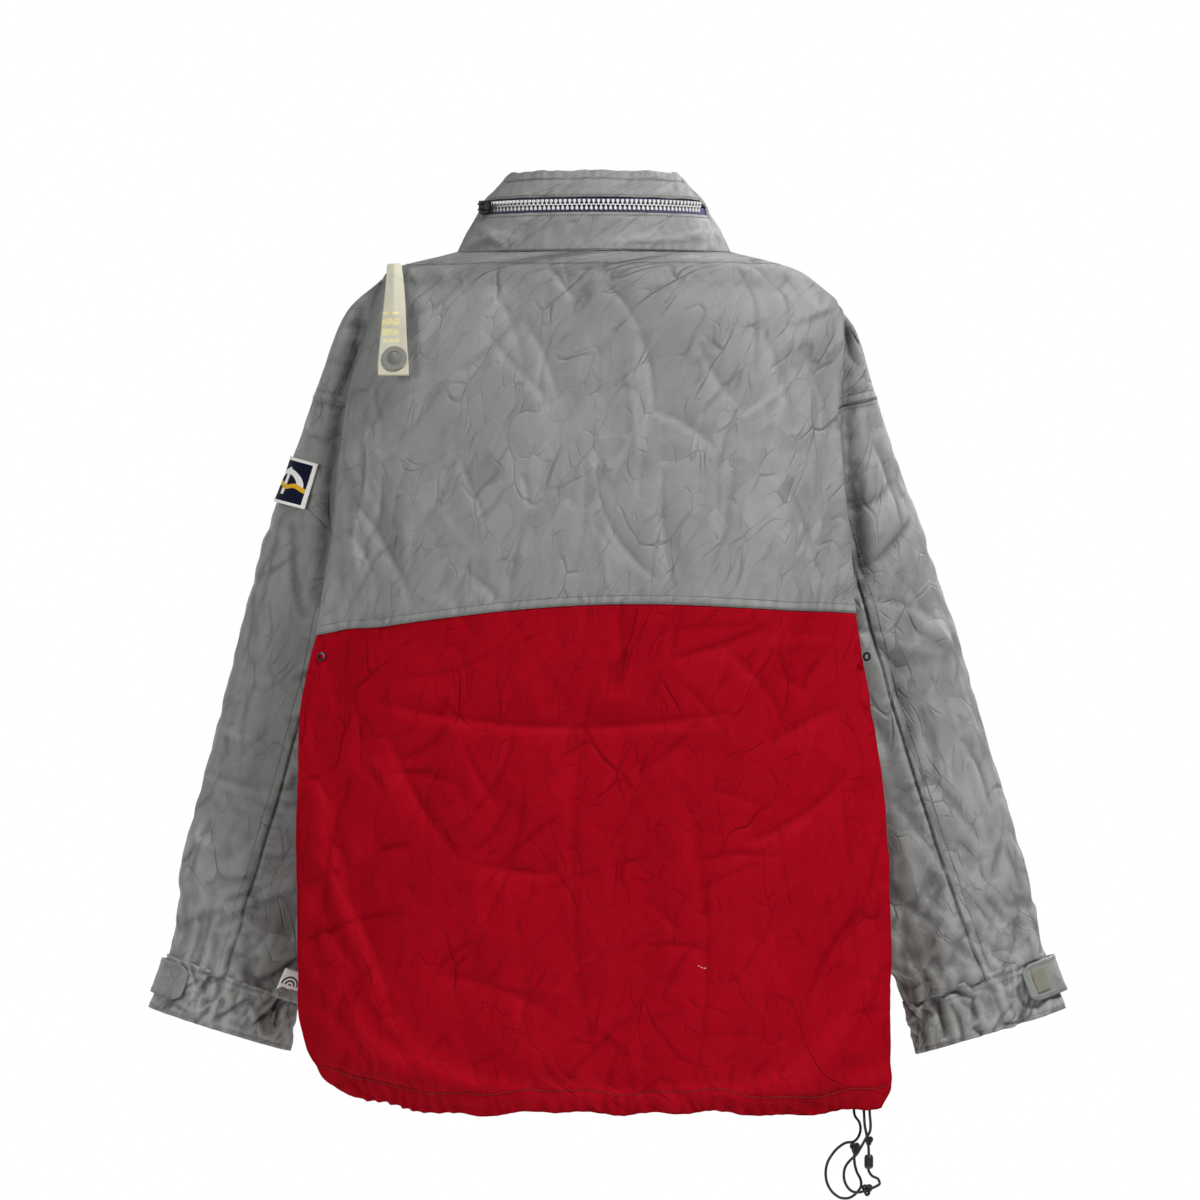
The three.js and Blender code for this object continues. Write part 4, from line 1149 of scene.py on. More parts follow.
def gather_seams(a, z, x):
    """What the drawcord, the waist seam and the topstitching do to the cloth beside them."""
    from_hem = z - hem_line(x)
    tight = 0.55 + 0.6 * ramp(noise(41, a / 70, a * 0), -0.3, 0.6) + 0.5 * ramp(x, 60, 200)
    here = ramp(noise(46, a / 60, z / 300), -0.35, 0.55)
    relief = np.exp(-from_hem / 17) * gathers(42, a + 4 * noise(47, a / 30, z / 20), 13.0) * 2.0 * tight
    relief += np.exp(-from_hem / 42) * gathers(43, a + 9 * noise(48, a / 40, z / 30), 29.0) * 1.8 * here
    relief -= 0.9 * np.exp(-(((from_hem - 20) / 2.0) ** 2))
    relief += 0.9 * np.exp(-(((from_hem - 10) / 7.0) ** 2))
    waist = z - waist_line(x)
    relief += 1.0 * np.exp(-np.abs(waist - 5) / 7) * noise(44, a / 7.0, z / 30)
    relief += 0.45 * ramp(waist, -0.5, 0.5) * ramp(-waist, -9.5, -8)
    relief -= 0.45 * np.exp(-(((waist - 2.0) / 0.9) ** 2)) + 0.45 * np.exp(-(((waist - 8.0) / 0.9) ** 2))
    neck = NECK_SEAM - z
    relief += 0.5 * np.exp(-np.abs(neck - 8) / 8) * noise(45, a / 4.5, z / 25)
    relief -= 0.6 * np.exp(-(((neck - 12) / 1.2) ** 2))
    return relief


def sleeve_rows(table, start, end, spacing):
    """Evenly spaced stations along a sleeve."""
    dense = np.linspace(start, end, 300)
    middle = sleeve_point(table, dense, np.full(300, QUARTER))
    along = np.concatenate([[0], np.cumsum(np.linalg.norm(np.diff(middle, axis=0), axis=1))])
    return np.interp(np.linspace(0, along[-1], int(along[-1] / spacing)), along, dense)


def seam_angle(side):
    """Where the seam runs down the back of the sleeve."""
    return QUARTER - SIGN[side] * 0.13


def make_sleeve(side):
    """A sleeve's shell from the cuff seam up into the armhole."""
    table, spacing = SLEEVES[side], sizes().spacing / MM
    t = sleeve_rows(table, 0.96, ARMHOLE, spacing)
    seam = seam_angle(side)
    columns = np.concatenate([np.linspace(-QUARTER, seam, 66)[:-1], np.linspace(seam, TURN - QUARTER, 66)])
    points = sleeve_point(table, t[:, None], columns[None, :])
    points = tuck_in(points, columns)
    cloth = Cloth(points, closed=True)
    cloth.t, cloth.angles, cloth.seam = t, columns, 65
    a = cloth.across - cloth.across[:, 65:66]
    along = cloth.along
    x, z = points[..., 0], points[..., 2]
    pins = np.full(points.shape[:2], 0.06)
    pins = np.maximum(pins, ramp(-t, -1.25, -0.96)[:, None])
    pins = np.maximum(pins, ramp(t, 5.6, 6.6)[:, None])
    pins[:, 0] = pins[:, -1] = 1
    outer = 0.0 if side == "left" else math.pi
    pins = np.maximum(pins, 0.5 * ramp(np.cos(columns - outer), 0.93, 1.0)[None, :])
    cloth.points = points + settle(points, pins, 3, closed=True, slack=0.035, cap=7.0, deep=5.0)
    back = (np.sin(columns) > 0)[None, :]
    relief = 3.0 * noise(51 + cloth.seam, a / 90, along / 130)
    relief += 2.4 * blurred(crumple(61 if side == "left" else 62, a, along, 70, 2.2, 0.25 * SIGN[side]), 1)
    relief += 0.3 * crumple(63, a, along, 24, 2.6, -0.2)
    relief += seeded_creases(64 if side == "left" else 65, a, along, 170, (30, 110), 14 * SIGN[side], 26,
                             5.2, 3.0)
    relief += seeded_creases(66 if side == "left" else 67, a, along, 44, (30, 90), 70, 16, 3.0, 3.2)
    low = ramp(-along, -150, -70)
    relief += low * seeded_creases(68, a, along, 150, (24, 80), 32, 14, 5.0, 2.8)
    relief += low * seeded_creases(69, a, along, 150, (24, 80), -30, 16, 4.6, 2.8)
    lines = ((338, 342, 306, 334, 2.0, 5), (362, 250, 330, 236, 1.6, 5),
             (330, 200, 285, 160, 2.0, 6)) if side == "left" else (
        (-236, 432, -314, 408, 2.6, 6), (-262, 305, -300, 170, 2.2, 6), (-300, 330, -350, 250, 1.8, 6),
        (-300, 200, -345, 140, 2.4, 6))
    for x0, z0, x1, z1, proud, width in lines:
        relief += back * proud * crease(x, z, (x0, z0), (x1, z1), 4.0, width)
    from_cuff = along - along[0]
    relief += np.exp(-from_cuff / 38) * gathers(71 if side == "left" else 72,
        a + 6 * noise(75, a / 25, along / 25), 17.0) * 2.4
    relief += 1.5 * np.exp(-(((a * SIGN[side] - 3.5) / 4.5) ** 2)) * noise(73, along / 6.5, a / 30)
    relief += 0.4 * ramp(a * SIGN[side], -0.5, 0.8) * ramp(-a * SIGN[side], -8, -6.5)
    relief -= 0.4 * np.exp(-(((a * SIGN[side] - 6.0) / 0.9) ** 2)) + 0.5 * np.exp(-((a / 1.1) ** 2))
    _, room = body_depth(x, z, True)
    near = np.exp(-np.abs(room + 6) / 12) * ramp(z, 430, 500)
    relief += near * 1.5 * noise(74, along / 9, a / 14)
    relief -= back * 11.0 * np.exp(-(((room + 8) / 9) ** 2)) * ramp(z, 440, 500) * ramp(-z, -722, -690)
    outline = 1 - 0.6 * ramp(np.abs(np.cos(columns)), 0.86, 0.99)[None, :]
    sewn_on = t[:, None] - SHOULDER_SEAM
    relief += 1.3 * ramp(-np.abs(sewn_on), -0.32, -0.02) * noise(76, a / 5.5, along / 30)
    relief += 1.0 * ramp(sewn_on, -0.01, 0.03) * ramp(-sewn_on, -0.16,
        -0.12) - 0.7 * np.exp(-((sewn_on / 0.02) ** 2))
    cloth.emboss(relief * outline * sizes().crumple * ramp(-t, -8.8, -8.0)[:, None])
    cloth.head = int(np.searchsorted(t, SHOULDER_SEAM))
    return cloth


def tuck_in(points, columns):
    """Lay the top of a sleeve inside the body, where it is sewn in."""
    x, y, z = points[..., 0], points[..., 1].copy(), points[..., 2]
    back_y, room = body_depth(x, z, True)
    front_y, _ = body_depth(x, z, False)
    inside = ramp(room, -3, 6) * ramp(z, 395, 450)
    behind = np.sin(columns)[None, :] >= -0.2
    y = np.where(behind, y * (1 - inside) + np.minimum(y, back_y - 7) * inside, y)
    sewn = ramp(room, -2, 16) * ramp(z, 590, 650)
    y = np.where(~behind, y * (1 - sewn) + np.maximum(y, front_y + 5) * sewn, y)
    return np.stack([x, y, z], axis=-1)


def make_cuff(side):
    """A cuff, gathered by its tab and its elastic."""
    table, spacing = SLEEVES[side], 1.8
    t = sleeve_rows(table, 0.0, 1.04, spacing)
    columns = np.linspace(-QUARTER, TURN - QUARTER, 221)
    points = sleeve_point(table, t[:, None], columns[None, :], -1.6)
    cloth = Cloth(points, closed=True)
    cloth.t, cloth.angles = t, columns
    a, along = cloth.across, cloth.along
    outer = 0.0 if side == "left" else math.pi
    loose = 1 - 0.75 * ramp(np.cos(columns - outer), 0.3, 0.9)[None, :]
    wander = a + 0.25 * along + 5 * noise(86, a / 22, along / 20)
    relief = gathers(81 if side == "left" else 82, wander, 23.0) * 1.9 * loose
    relief += 0.8 * crumple(83, a, along, 18, 1.8, 0.4)
    relief += loose * seeded_creases(84 if side == "left" else 85, a, along, 60, (22, 60), 28, 16, 7.0, 1.9)
    relief += loose * seeded_creases(86 if side == "left" else 87, a, along, 34, (16, 46), -30, 20, 6.0, 1.9)
    tall = along[-1].mean()
    for line in (3.0, tall - 4.0):
        relief -= 0.5 * np.exp(-(((along - line) / 0.9) ** 2))
    relief += 0.6 * np.exp(-(((along - 6) / 5) ** 2))
    cloth.emboss(relief * sizes().crumple)
    return cloth


def slot_opening(phi):
    """How far the collar's zip slot is open at an angle, from 0 to 1."""
    return ramp(np.sin(phi), 0.16, 0.24)


def collar_cloth(part):
    """The collar's lower or upper strip, from front edge to front edge."""
    lower = part == "lower"
    start = edge_angle(lambda a: collar_point(np.array(770.0), np.array(a)), ZIP_EDGE)
    columns = np.linspace(start, math.pi - start, 235)
    slot = SLOT_HALF * slot_opening(columns)
    rows = 17 if lower else 15
    share_of = np.linspace(0, 1, rows)[:, None]
    if lower:
        height = 755.5 + share_of * (CHAIN_HEIGHT - slot - 755.5)
    else:
        wave = 0.9 * np.sin(columns * 9.0) + 0.5 * np.sin(columns * 23.0)
        top = COLLAR_TOP - 0.6 + wave * 0.5
        height = CHAIN_HEIGHT + slot + share_of * (top - CHAIN_HEIGHT - slot)
    points = collar_point(height, np.broadcast_to(columns, height.shape))
    cloth = Cloth(points)
    cloth.angles = columns
    a = cloth.across - cloth.across[:, 117:118]
    z = points[..., 2]
    relief = 0.7 * crumple(101 if lower else 102, a, z, 20, 1.7, 0.3) + 0.3 * crumple(103, a, z, 7, 2.2)
    relief += seeded_creases(104 if lower else 105, a, z, 90, (8, 34), 20, 40, 1.2, 1.5)
    x = points[..., 0]
    back = (np.sin(columns) > 0)[None, :]
    if lower:
        for x0, z0, x1, z1, proud, width in (
            (112, 764, 84, 771, 2.6, 3.5), (98, 776, 74, 760, 2.2, 3.0), (104, 781, 66, 766, 1.6, 3.0),
            (-6, 763, -112, 770, 1.9, 3.0), (-30, 764, -58, 773, 1.6, 3.0), (-70, 769, -114, 777, 1.5, 3.0),
        ):
            relief += back * 1.3 * proud * crease(x, z, (x0, z0), (x1, z1), 1.5, width * 0.7)
        relief -= 0.5 * np.exp(-(((height - (CHAIN_HEIGHT - slot - 2.2)) / 0.9) ** 2))
        relief += 0.6 * np.exp(-(z - 757) / 6) * noise(106, a / 5, z / 20)
    else:
        band = COLLAR_TOP - z
        relief += 0.8 * np.exp(-(((band - 4) / 4.5) ** 2)) * (0.6 + gathers(107, a, 5.5))
        relief -= 0.8 * np.exp(-(((band - 8.5) / 1.0) ** 2))
        relief -= 0.5 * np.exp(-(((height - (CHAIN_HEIGHT + slot + 2.2)) / 0.9) ** 2))
    cloth.emboss(relief * sizes().crumple)
    return cloth


# --------------------------------------------------------------------------- the pieces


class JACKET_OT_stage(Operator):
    """Place the camera, the lights and the pale floor"""

    bl_idname = "jacket.stage"
    bl_label = "Stage"

    def execute(self, context):
        camera = bpy.data.objects.new("camera", bpy.data.cameras.new("camera"))
        context.collection.objects.link(camera)
        distance, seen = 6.5, 1.056
        camera.location = (-0.0053, distance, -0.2894)
        camera.rotation_euler = (QUARTER, 0, math.pi)
        camera.data.lens = camera.data.sensor_width * distance / seen
        context.scene.camera = camera
        for name, place, power, wide in (
            ("key_light", (-1.5, 1.5, 2.1), 135, 0.7),
            ("fill_light", (2.3, 2.1, 0.3), 40, 1.2),
            ("front_key_light", (-2.2, -1.9, 1.4), 80, 1.0),
            ("front_fill_light", (2.2, -2.0, 0.0), 20, 1.8),
        ):
            light = bpy.data.objects.new(name, bpy.data.lights.new(name, "AREA"))
            light.data.energy, light.data.size = power, wide
            light.location = place
            light.rotation_euler = (Vector((0, 0, -0.3)) - Vector(place)).to_track_quat("-Z", "Y").to_euler()
            context.collection.objects.link(light)
        world = bpy.data.worlds.new("studio")
        world.use_nodes = True
        context.scene.world = world
        tree = world.node_tree
        tree.nodes.clear()
        seen_as, lit_by = tree.nodes.new("ShaderNodeBackground"), tree.nodes.new("ShaderNodeBackground")
        seen_as.inputs[0].default_value, seen_as.inputs[1].default_value = (1, 1, 1, 1), 1.0
        lit_by.inputs[0].default_value, lit_by.inputs[1].default_value = (0.96, 0.98, 1, 1), 0.16
        ray, mix, out = (tree.nodes.new(k)
                         for k in ("ShaderNodeLightPath", "ShaderNodeMixShader", "ShaderNodeOutputWorld"))
        tree.links.new(ray.outputs["Is Camera Ray"], mix.inputs[0])
        tree.links.new(lit_by.outputs[0], mix.inputs[1])
        tree.links.new(seen_as.outputs[0], mix.inputs[2])
        tree.links.new(mix.outputs[0], out.inputs[0])
        material, tree, shader = blank("pale_floor", 0.9)
        shader.inputs["Base Color"].default_value = (0.9, 0.9, 0.89, 1)
        bm = bmesh.new()
        bmesh.ops.create_circle(bm, cap_ends=True, radius=1.35, segments=96,
                                matrix=Matrix.Translation((0, 0, -1.2)))
        finished("floor", bm, material, smooth=False)
        context.scene.view_settings.view_transform = "Standard"
        return {"FINISHED"}


def tube_curve(name, points, diameter, material, steps=6):
    """A cord as one open curve through its points."""
    route = smooth_route(points, steps)
    data = bpy.data.curves.new(name, "CURVE")
    data.dimensions, data.bevel_depth, data.bevel_resolution = "3D", diameter / 2, 3
    data.use_fill_caps = True
    line = data.splines.new("POLY")
    line.points.add(len(route) - 1)
    for point, place in zip(line.points, route):
        point.co = (*place, 1.0)
    data.materials.append(material)
    piece = bpy.data.objects.new(name, data)
    bpy.context.collection.objects.link(piece)
    return piece, route


def smooth_route(points, steps):
    """A smooth line through a cord's points, in metres."""
    places = metres(points)
    keys = np.concatenate([[0], np.cumsum(np.linalg.norm(np.diff(places, axis=0), axis=1))])
    return through(keys, places, np.linspace(0, keys[-1], (len(points) - 1) * steps + 1))


def knot_piece(name, centre, radius, material):
    """A tight overhand knot: a cord wound once through itself, made a mesh."""
    turn = np.linspace(0, TURN, 49)
    x = radius * (np.sin(turn) + 2 * np.sin(2 * turn)) / 3
    z = radius * (np.cos(turn) - 2 * np.cos(2 * turn)) / 3 * 1.25
    y = -radius * np.sin(3 * turn) / 2.4
    points = np.stack([x, y, z], axis=1)[:-1] + centre
    curve, _ = tube_curve(name + "_line", points, sizes().cord * 1.05, material, 3)
    mesh = bpy.data.meshes.new_from_object(curve.evaluated_get(bpy.context.evaluated_depsgraph_get()))
    bpy.data.objects.remove(curve)
    mesh.polygons.foreach_set("use_smooth", [True] * len(mesh.polygons))
    piece = bpy.data.objects.new(name, mesh)
    bpy.context.collection.objects.link(piece)
    return piece


class JACKET_OT_drawcord(Operator):
    """Hang the two loops of the hem's drawcord, with their knots and stopper"""

    bl_idname = "jacket.drawcord"
    bl_label = "Hem drawcord"

    def execute(self, context):
        thick, material = sizes().cord, braided_cord()
        wide, wide_line = tube_curve("drawcord_wide", WIDE_LOOP, thick, material)
        long, long_line = tube_curve("drawcord_long", LONG_LOOP, thick, material)
        knots = [
            knot_piece("drawcord_knot_wide", (-229, 16.8, -30), 3.6, material),
            knot_piece("drawcord_knot_long", (-241, 22, -23.5), 2.9, material),
            knot_piece("drawcord_end_knot", (-239.5, 26, -66), 3.9, material),
        ]
        for piece, node in ((wide, "drawcord_wide_loop"), (long, "drawcord_long_loop")):
            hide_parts(node)
        for piece in (wide, long, *knots):
            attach(piece, "torso")
        turn = np.linspace(-1.36, math.pi + 1.36, 150)
        around = body_point(np.full(150, 0.035), turn, 8.5)
        inner, _ = tube_curve("hem_drawcord_line", around, thick, material, 1)
        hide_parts("hem_drawcord")
        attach(inner, "torso")
        repaint(["cord_stopper"], moulded("stopper_plastic", tuple(colours().cord), 0.35))
        return {"FINISHED"}


def panel(name, cloth, rows, columns, material, nodes, body, lift=0.0, deepen=1.0):
    """One cut panel of a larger cloth, from some of its rows and columns."""
    part = (slice(*rows), slice(*columns))
    points = cloth.points[part] + cloth.normals()[part] * lift
    across, along = cloth.across[part], cloth.along[part]
    # deepen scales the painted highlight and painted shade of the crease attribute.
    piece = sheet_piece(name, points, material, across, along, cloth.shade()[part] * deepen,
                        sizes().shell / MM)
    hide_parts(*nodes)
    if body:
        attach(piece, body)
        cloth_sheet(piece, cloth.rest[part])
    return piece


def seam_lines(cloth, rows, columns, lift=0.25):
    """Stitching lines over a cloth: each a list of rows and columns."""
    return cloth.sample(np.asarray(rows, float), np.asarray(columns, float), np.full(len(rows), lift))


def rows_at(cloth, columns, heights):
    """For each column, the row where the cloth is at a height above the hem."""
    z = cloth.rest[..., 2]
    return np.array([np.interp(h, z[:, int(c)], np.arange(len(z))) for c, h in zip(columns, heights)])


class JACKET_OT_body(Operator):
    """Sew the body: silver above the waist seam and red below it"""

    bl_idname = "jacket.body"
    bl_label = "Body"

    def execute(self, context):
        cloth = once("body", make_body)
        total, last = cloth.points.shape[:2]
        seam, left, right = cloth.seam, cloth.left, cloth.right
        silver, red = silver_cloth(), red_cloth()
        lower, upper = (0, seam + 1), (seam, total)
        fronts = {"left": (0, left + 1), "right": (right, last)}
        panel("back_lower_cloth", cloth, lower, (left, right + 1), red, ["back_lower"],
              "torso")
        panel("back_yoke_cloth", cloth, upper, (left, right + 1), silver, ["back_yoke"],
              "torso", lift=0.5)
        for side, columns in fronts.items():
            panel(f"front_lower_cloth_{side}", cloth, lower, columns, red, [f"front_lower_{side}"],
                  "torso")
            panel(f"front_yoke_cloth_{side}", cloth, upper, columns, silver, [f"front_yoke_{side}"],
                  "torso", lift=0.5)
        columns = np.arange(3, last - 3, 1.0)
        x = cloth.rest[seam, columns.astype(int), 0]
        lines = []
        for gap in (2.0, 8.0):
            lines.append(seam_lines(cloth, rows_at(cloth, columns, waist_line(x) + gap), columns, 0.75))
        lines.append(seam_lines(cloth, rows_at(cloth, columns, np.full(len(columns), NECK_SEAM - 12)),
                                columns, 0.75))
        for column in (3.0, last - 4.0):
            rows = np.arange(2, total - 2, 2.0)
            lines.append(seam_lines(cloth, rows, np.full(len(rows), column)))
        grey = stitches("body_topstitch", lines, plain_thread("grey_thread", (0.20, 0.20, 0.19)))
        x = cloth.rest[5, columns.astype(int), 0]
        hem = [seam_lines(cloth, rows_at(cloth, columns, hem_line(x) + 20), columns)]
        dark = stitches("hem_topstitch", hem, plain_thread("red_thread", (0.16, 0.002, 0.006)))
        for piece in (grey, dark):
            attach(piece, "torso")
        snag = stitches("thread_snag",
                        [(np.array([(-90, 77.2, 133), (-93, 78.4, 131.5), (-95.5, 78.4, 130),
                            (-98, 77.6, 131)]),
                                         np.array([(0, 1, 0)] * 4))],
                                         plain_thread("loose_thread", (0.75, 0.66, 0.64)), 2.4, 0.5)
        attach(snag, "torso")
        repaint(["vent_eyelet_left", "vent_eyelet_right"],
                metal("dark_eyelet", (0.05, 0.05, 0.055), 0.35, 300))
        return {"FINISHED"}


class JACKET_OT_inside(Operator):
    """Hang the lining and fold the casing inside the hem"""

    bl_idname = "jacket.inside"
    bl_label = "Lining and hem casing"

    def execute(self, context):
        levels = np.linspace(0.075, 1.94, 90)
        points = body_point(levels[:, None], body_angles(levels, (34, 66), 13.0), 13.0)
        cloth = Cloth(points)
        a, z = cloth.across, points[..., 2]
        cloth.emboss(1.1 * crumple(121, a, z, 60, 2.0, 0.1) + 1.5 * noise(122, a / 90, z / 120) - 1.0)
        lining = sheet_piece("lining_cloth", cloth.points, lining_cloth(), cloth.across, cloth.along,
                             cloth.shade(), 0.6)
        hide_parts("body_lining")
        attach(lining, "torso")
        cloth_sheet(lining, cloth.rest)
        levels = np.linspace(0.008, 0.058, 9)
        points = body_point(levels[:, None], body_angles(levels, (70, 130), 16.4), 16.4)
        cloth = Cloth(points)
        cloth.emboss(0.8 * gathers(123, cloth.across, 12.0))
        casing = sheet_piece("hem_casing_cloth", cloth.points, red_cloth(), cloth.across, cloth.along,
                             cloth.shade(), 0.8)
        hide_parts("hem_casing")
        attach(casing, "torso")
        cloth_sheet(casing, cloth.rest)
        return {"FINISHED"}


def bend_with_sleeve(piece):
    """Bake a piece's place on a sleeve into its mesh; the piece is not made to bend with the sleeve at the
    armhole.
    """
    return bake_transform(piece)


class JACKET_OT_sleeves(Operator):
    """Sew the two sleeves from outer and inner panels"""

    bl_idname = "jacket.sleeves"
    bl_label = "Sleeves"

    def execute(self, context):
        for side in SLEEVES:
            cloth = once(f"sleeve_{side}", lambda side=side: make_sleeve(side))
            total, around = cloth.points.shape[:2]
            east, west = (0, cloth.seam + 1), (cloth.seam, around)
            outer, inner = (east, west) if side == "left" else (west, east)
            for label, rows, columns, lift in (
                ("outer", (0, cloth.head + 1), outer, 0.3),
                ("inner", (0, cloth.head + 1), inner, 0.0),
                ("head", (cloth.head, total), (0, around), 0.5),
            ):
                moves = None if label != "head" else "torso"
                # The sleeves' crease attribute is strengthened 1.7 times for deeper painted shade in their
                # creases.
                piece = panel(f"sleeve_{label}_cloth_{side}", cloth, rows, columns, silver_cloth(),
                              [f"sleeve_{label}_{side}"], moves, lift=lift, deepen=1.7)
                if label != "head":
                    bend_with_sleeve(piece)
                    cloth_sheet(piece, cloth.rest[slice(*rows), slice(*columns)])
            columns = np.arange(1, around - 2, 1.0)
            lines = [seam_lines(cloth, np.full(len(columns), cloth.head + k), columns, 0.9)
                     for k in (0.8, 3.0)]
            thread = stitches(f"sleeve_head_topstitch_{side}", lines,
                              plain_thread("grey_thread", (0.20, 0.20, 0.19)))
            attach(thread, "torso")
            along = np.arange(2, cloth.head - 2, 2.0)
            step = SIGN[side] * 2.0
            lines = [seam_lines(cloth, along, np.full(len(along), cloth.seam - step * k), 0.55)
                     for k in (0.35, 1.3)]
            thread = stitches(f"sleeve_topstitch_{side}", lines,
                              plain_thread("grey_thread", (0.20, 0.20, 0.19)))
            bend_with_sleeve(thread)
        return {"FINISHED"}


def sleeve_patch(side, low, high, first, last, lift, rows=14, columns=20, corner=0.0):
    """A patch lying round a sleeve: stations low to high, degrees from the outer edge towards the back."""
    outer = 0.0 if side == "left" else 180.0
    v, u = np.meshgrid(np.linspace(0, 1, rows), np.linspace(0, 1, columns), indexing="ij")
    if corner:
        pinch = 1 - corner * (np.clip((np.abs(u - 0.5) * 2 - 0.82) / 0.18, 0, 1) ** 2)
        v = 0.5 + (v - 0.5) * pinch
    angle = np.radians(outer + SIGN[side] * (first + (last - first) * u))
    lifts = lift(u, v) if callable(lift) else np.full_like(u, lift)
    t = low + (high - low) * v
    table = SLEEVES[side]
    points = np.stack([sleeve_point(table, t[:, k], angle[:, k]) for k in range(columns)], axis=1)
    ahead = np.stack([sleeve_point(table, t[:, k], angle[:, k] + 0.02) for k in range(columns)],
                     axis=1) - points
    above = np.stack([sleeve_point(table, t[:, k] + 0.05, angle[:, k]) for k in range(columns)],
                     axis=1) - points
    out = np.cross(ahead, above)
    out = out / np.linalg.norm(out, axis=2, keepdims=True)
    points = points + out * lifts[..., None]
    if side == "right":
        points = points[:, ::-1]
    return points


class JACKET_OT_cuffs(Operator):
    """Sew the cuffs with their tabs, patches and label"""

    bl_idname = "jacket.cuffs"
    bl_label = "Cuffs"

    def execute(self, context):
        for side in SLEEVES:
            cloth = once(f"cuff_{side}", lambda side=side: make_cuff(side))
            body = f"sleeve_{side}"
            # The cuff's crease attribute is strengthened 2.6 times for deeper painted shade in its folds.
            cuff = sheet_piece(f"cuff_cloth_{side}", cloth.points, silver_cloth(), cloth.across, cloth.along,
                               cloth.shade() * 2.6, 1.6, closed=True)
            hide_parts(f"cuff_{side}")
            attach(cuff, body)
            cloth_sheet(cuff, cloth.rest)
            columns = np.arange(0, cloth.points.shape[1] - 1, 1.0)
            last = len(cloth.points) - 1
            lines = [seam_lines(cloth, np.full(len(columns), row), columns, 0.2)
                     for row in (1.8, last - 2.2, last - 5.2)]
            thread = stitches(f"cuff_topstitch_{side}", lines,
                              plain_thread("grey_thread", (0.20, 0.20, 0.19)))
            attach(thread, body)
            bulge = 5.5 if side == "right" else 1.0

            def lift(u, v, bulge=bulge):
                return 4.2 + bulge * np.exp(-(((u - 0.5) / 0.2) ** 2))

            tab = Cloth(sleeve_patch(side, 0.28, 0.95, -62, 52, lift, 18, 60, 0.35))
            tab.emboss(0.35 * crumple(131, tab.across, tab.along, 14, 1.5) + 0.3
                       * noise(132, tab.across / 12, tab.along / 9))
            piece = sheet_piece(f"cuff_tab_cloth_{side}", tab.points, silver_cloth(), tab.across,
                                tab.along, tab.shade(), 1.8)
            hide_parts(f"cuff_tab_{side}")
            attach(piece, f"cuff_tab_{side}")
            cloth_sheet(piece, tab.rest)
            proud = 5.0 if side == "right" else 2.6
            patch = Cloth(sleeve_patch(side, 0.40, 0.83, 26, 44, proud, 10, 14))
            hook = sheet_piece(f"cuff_hook_tape_{side}", patch.points, hook_tape(), thick=1.0)
            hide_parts(f"cuff_hook_patch_{side}")
            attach(hook, f"cuff_tab_{side}")
            cloth_sheet(hook, patch.rest)
            edge = [seam_lines(tab, np.full(len(c), r), c, 0.3) for r in (1.5, 15.5)
                    for c in (np.arange(2, 57, 1.0),)]
            thread = stitches(f"tab_topstitch_{side}", edge, plain_thread("grey_thread", (0.20, 0.20, 0.19)))
            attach(thread, f"cuff_tab_{side}")
        self.label()
        return {"FINISHED"}

    def label(self):
        """The small woven label on the left sleeve, with plain striped arcs."""
        patch = Cloth(sleeve_patch("left", 1.05, 1.52, 127, 160, lambda u, v: 2.6 + 0.5 * np.sin(u * 5),
            12, 14))
        piece = sheet_piece("cuff_label_cloth", patch.points, label_cloth(), thick=0.6)
        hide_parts("cuff_label")
        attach(piece, "sleeve_left")
        cloth_sheet(piece, patch.rest)


def label_cloth():
    """White woven label with dark arcs, one inside another."""
    if "woven_label" in bpy.data.materials:
        return bpy.data.materials["woven_label"]
    base = tuple(colours().white)
    made = cloth_material("woven_label", base, shifted(base, 1.1), shifted(base, 0.6), 0.7, 1400.0, 40.0,
                          0.1, 0.1)
    tree, shader = made.node_tree, made.node_tree.nodes["Principled BSDF"]
    before = shader.inputs["Base Color"].links[0].from_socket
    flat = add(tree, "ShaderNodeUVMap")
    centre = add(tree, "ShaderNodeVectorMath", [(0, flat.outputs[0])], operation="SUBTRACT")
    centre.inputs[1].default_value = (0.010, 0.009, 0.0)
    reach = add(tree, "ShaderNodeVectorMath", [(0, centre.outputs[0])], operation="LENGTH")
    rings = math_node(tree, "SINE", math_node(tree, "MULTIPLY", reach.outputs["Value"], TURN / 0.0034))
    inside = math_node(tree, "LESS_THAN", reach.outputs["Value"], 0.0085)
    split = add(tree, "ShaderNodeSeparateXYZ", [(0, centre.outputs[0])])
    upper = math_node(tree, "GREATER_THAN", split.outputs[1], 0.0)
    arcs = math_node(tree, "MULTIPLY",
                     math_node(tree, "MULTIPLY", math_node(tree, "GREATER_THAN", rings, 0.1), inside), upper)
    tree.links.new(mix_colour(tree, arcs, before, (0.03, 0.03, 0.04)), shader.inputs["Base Color"])
    return made


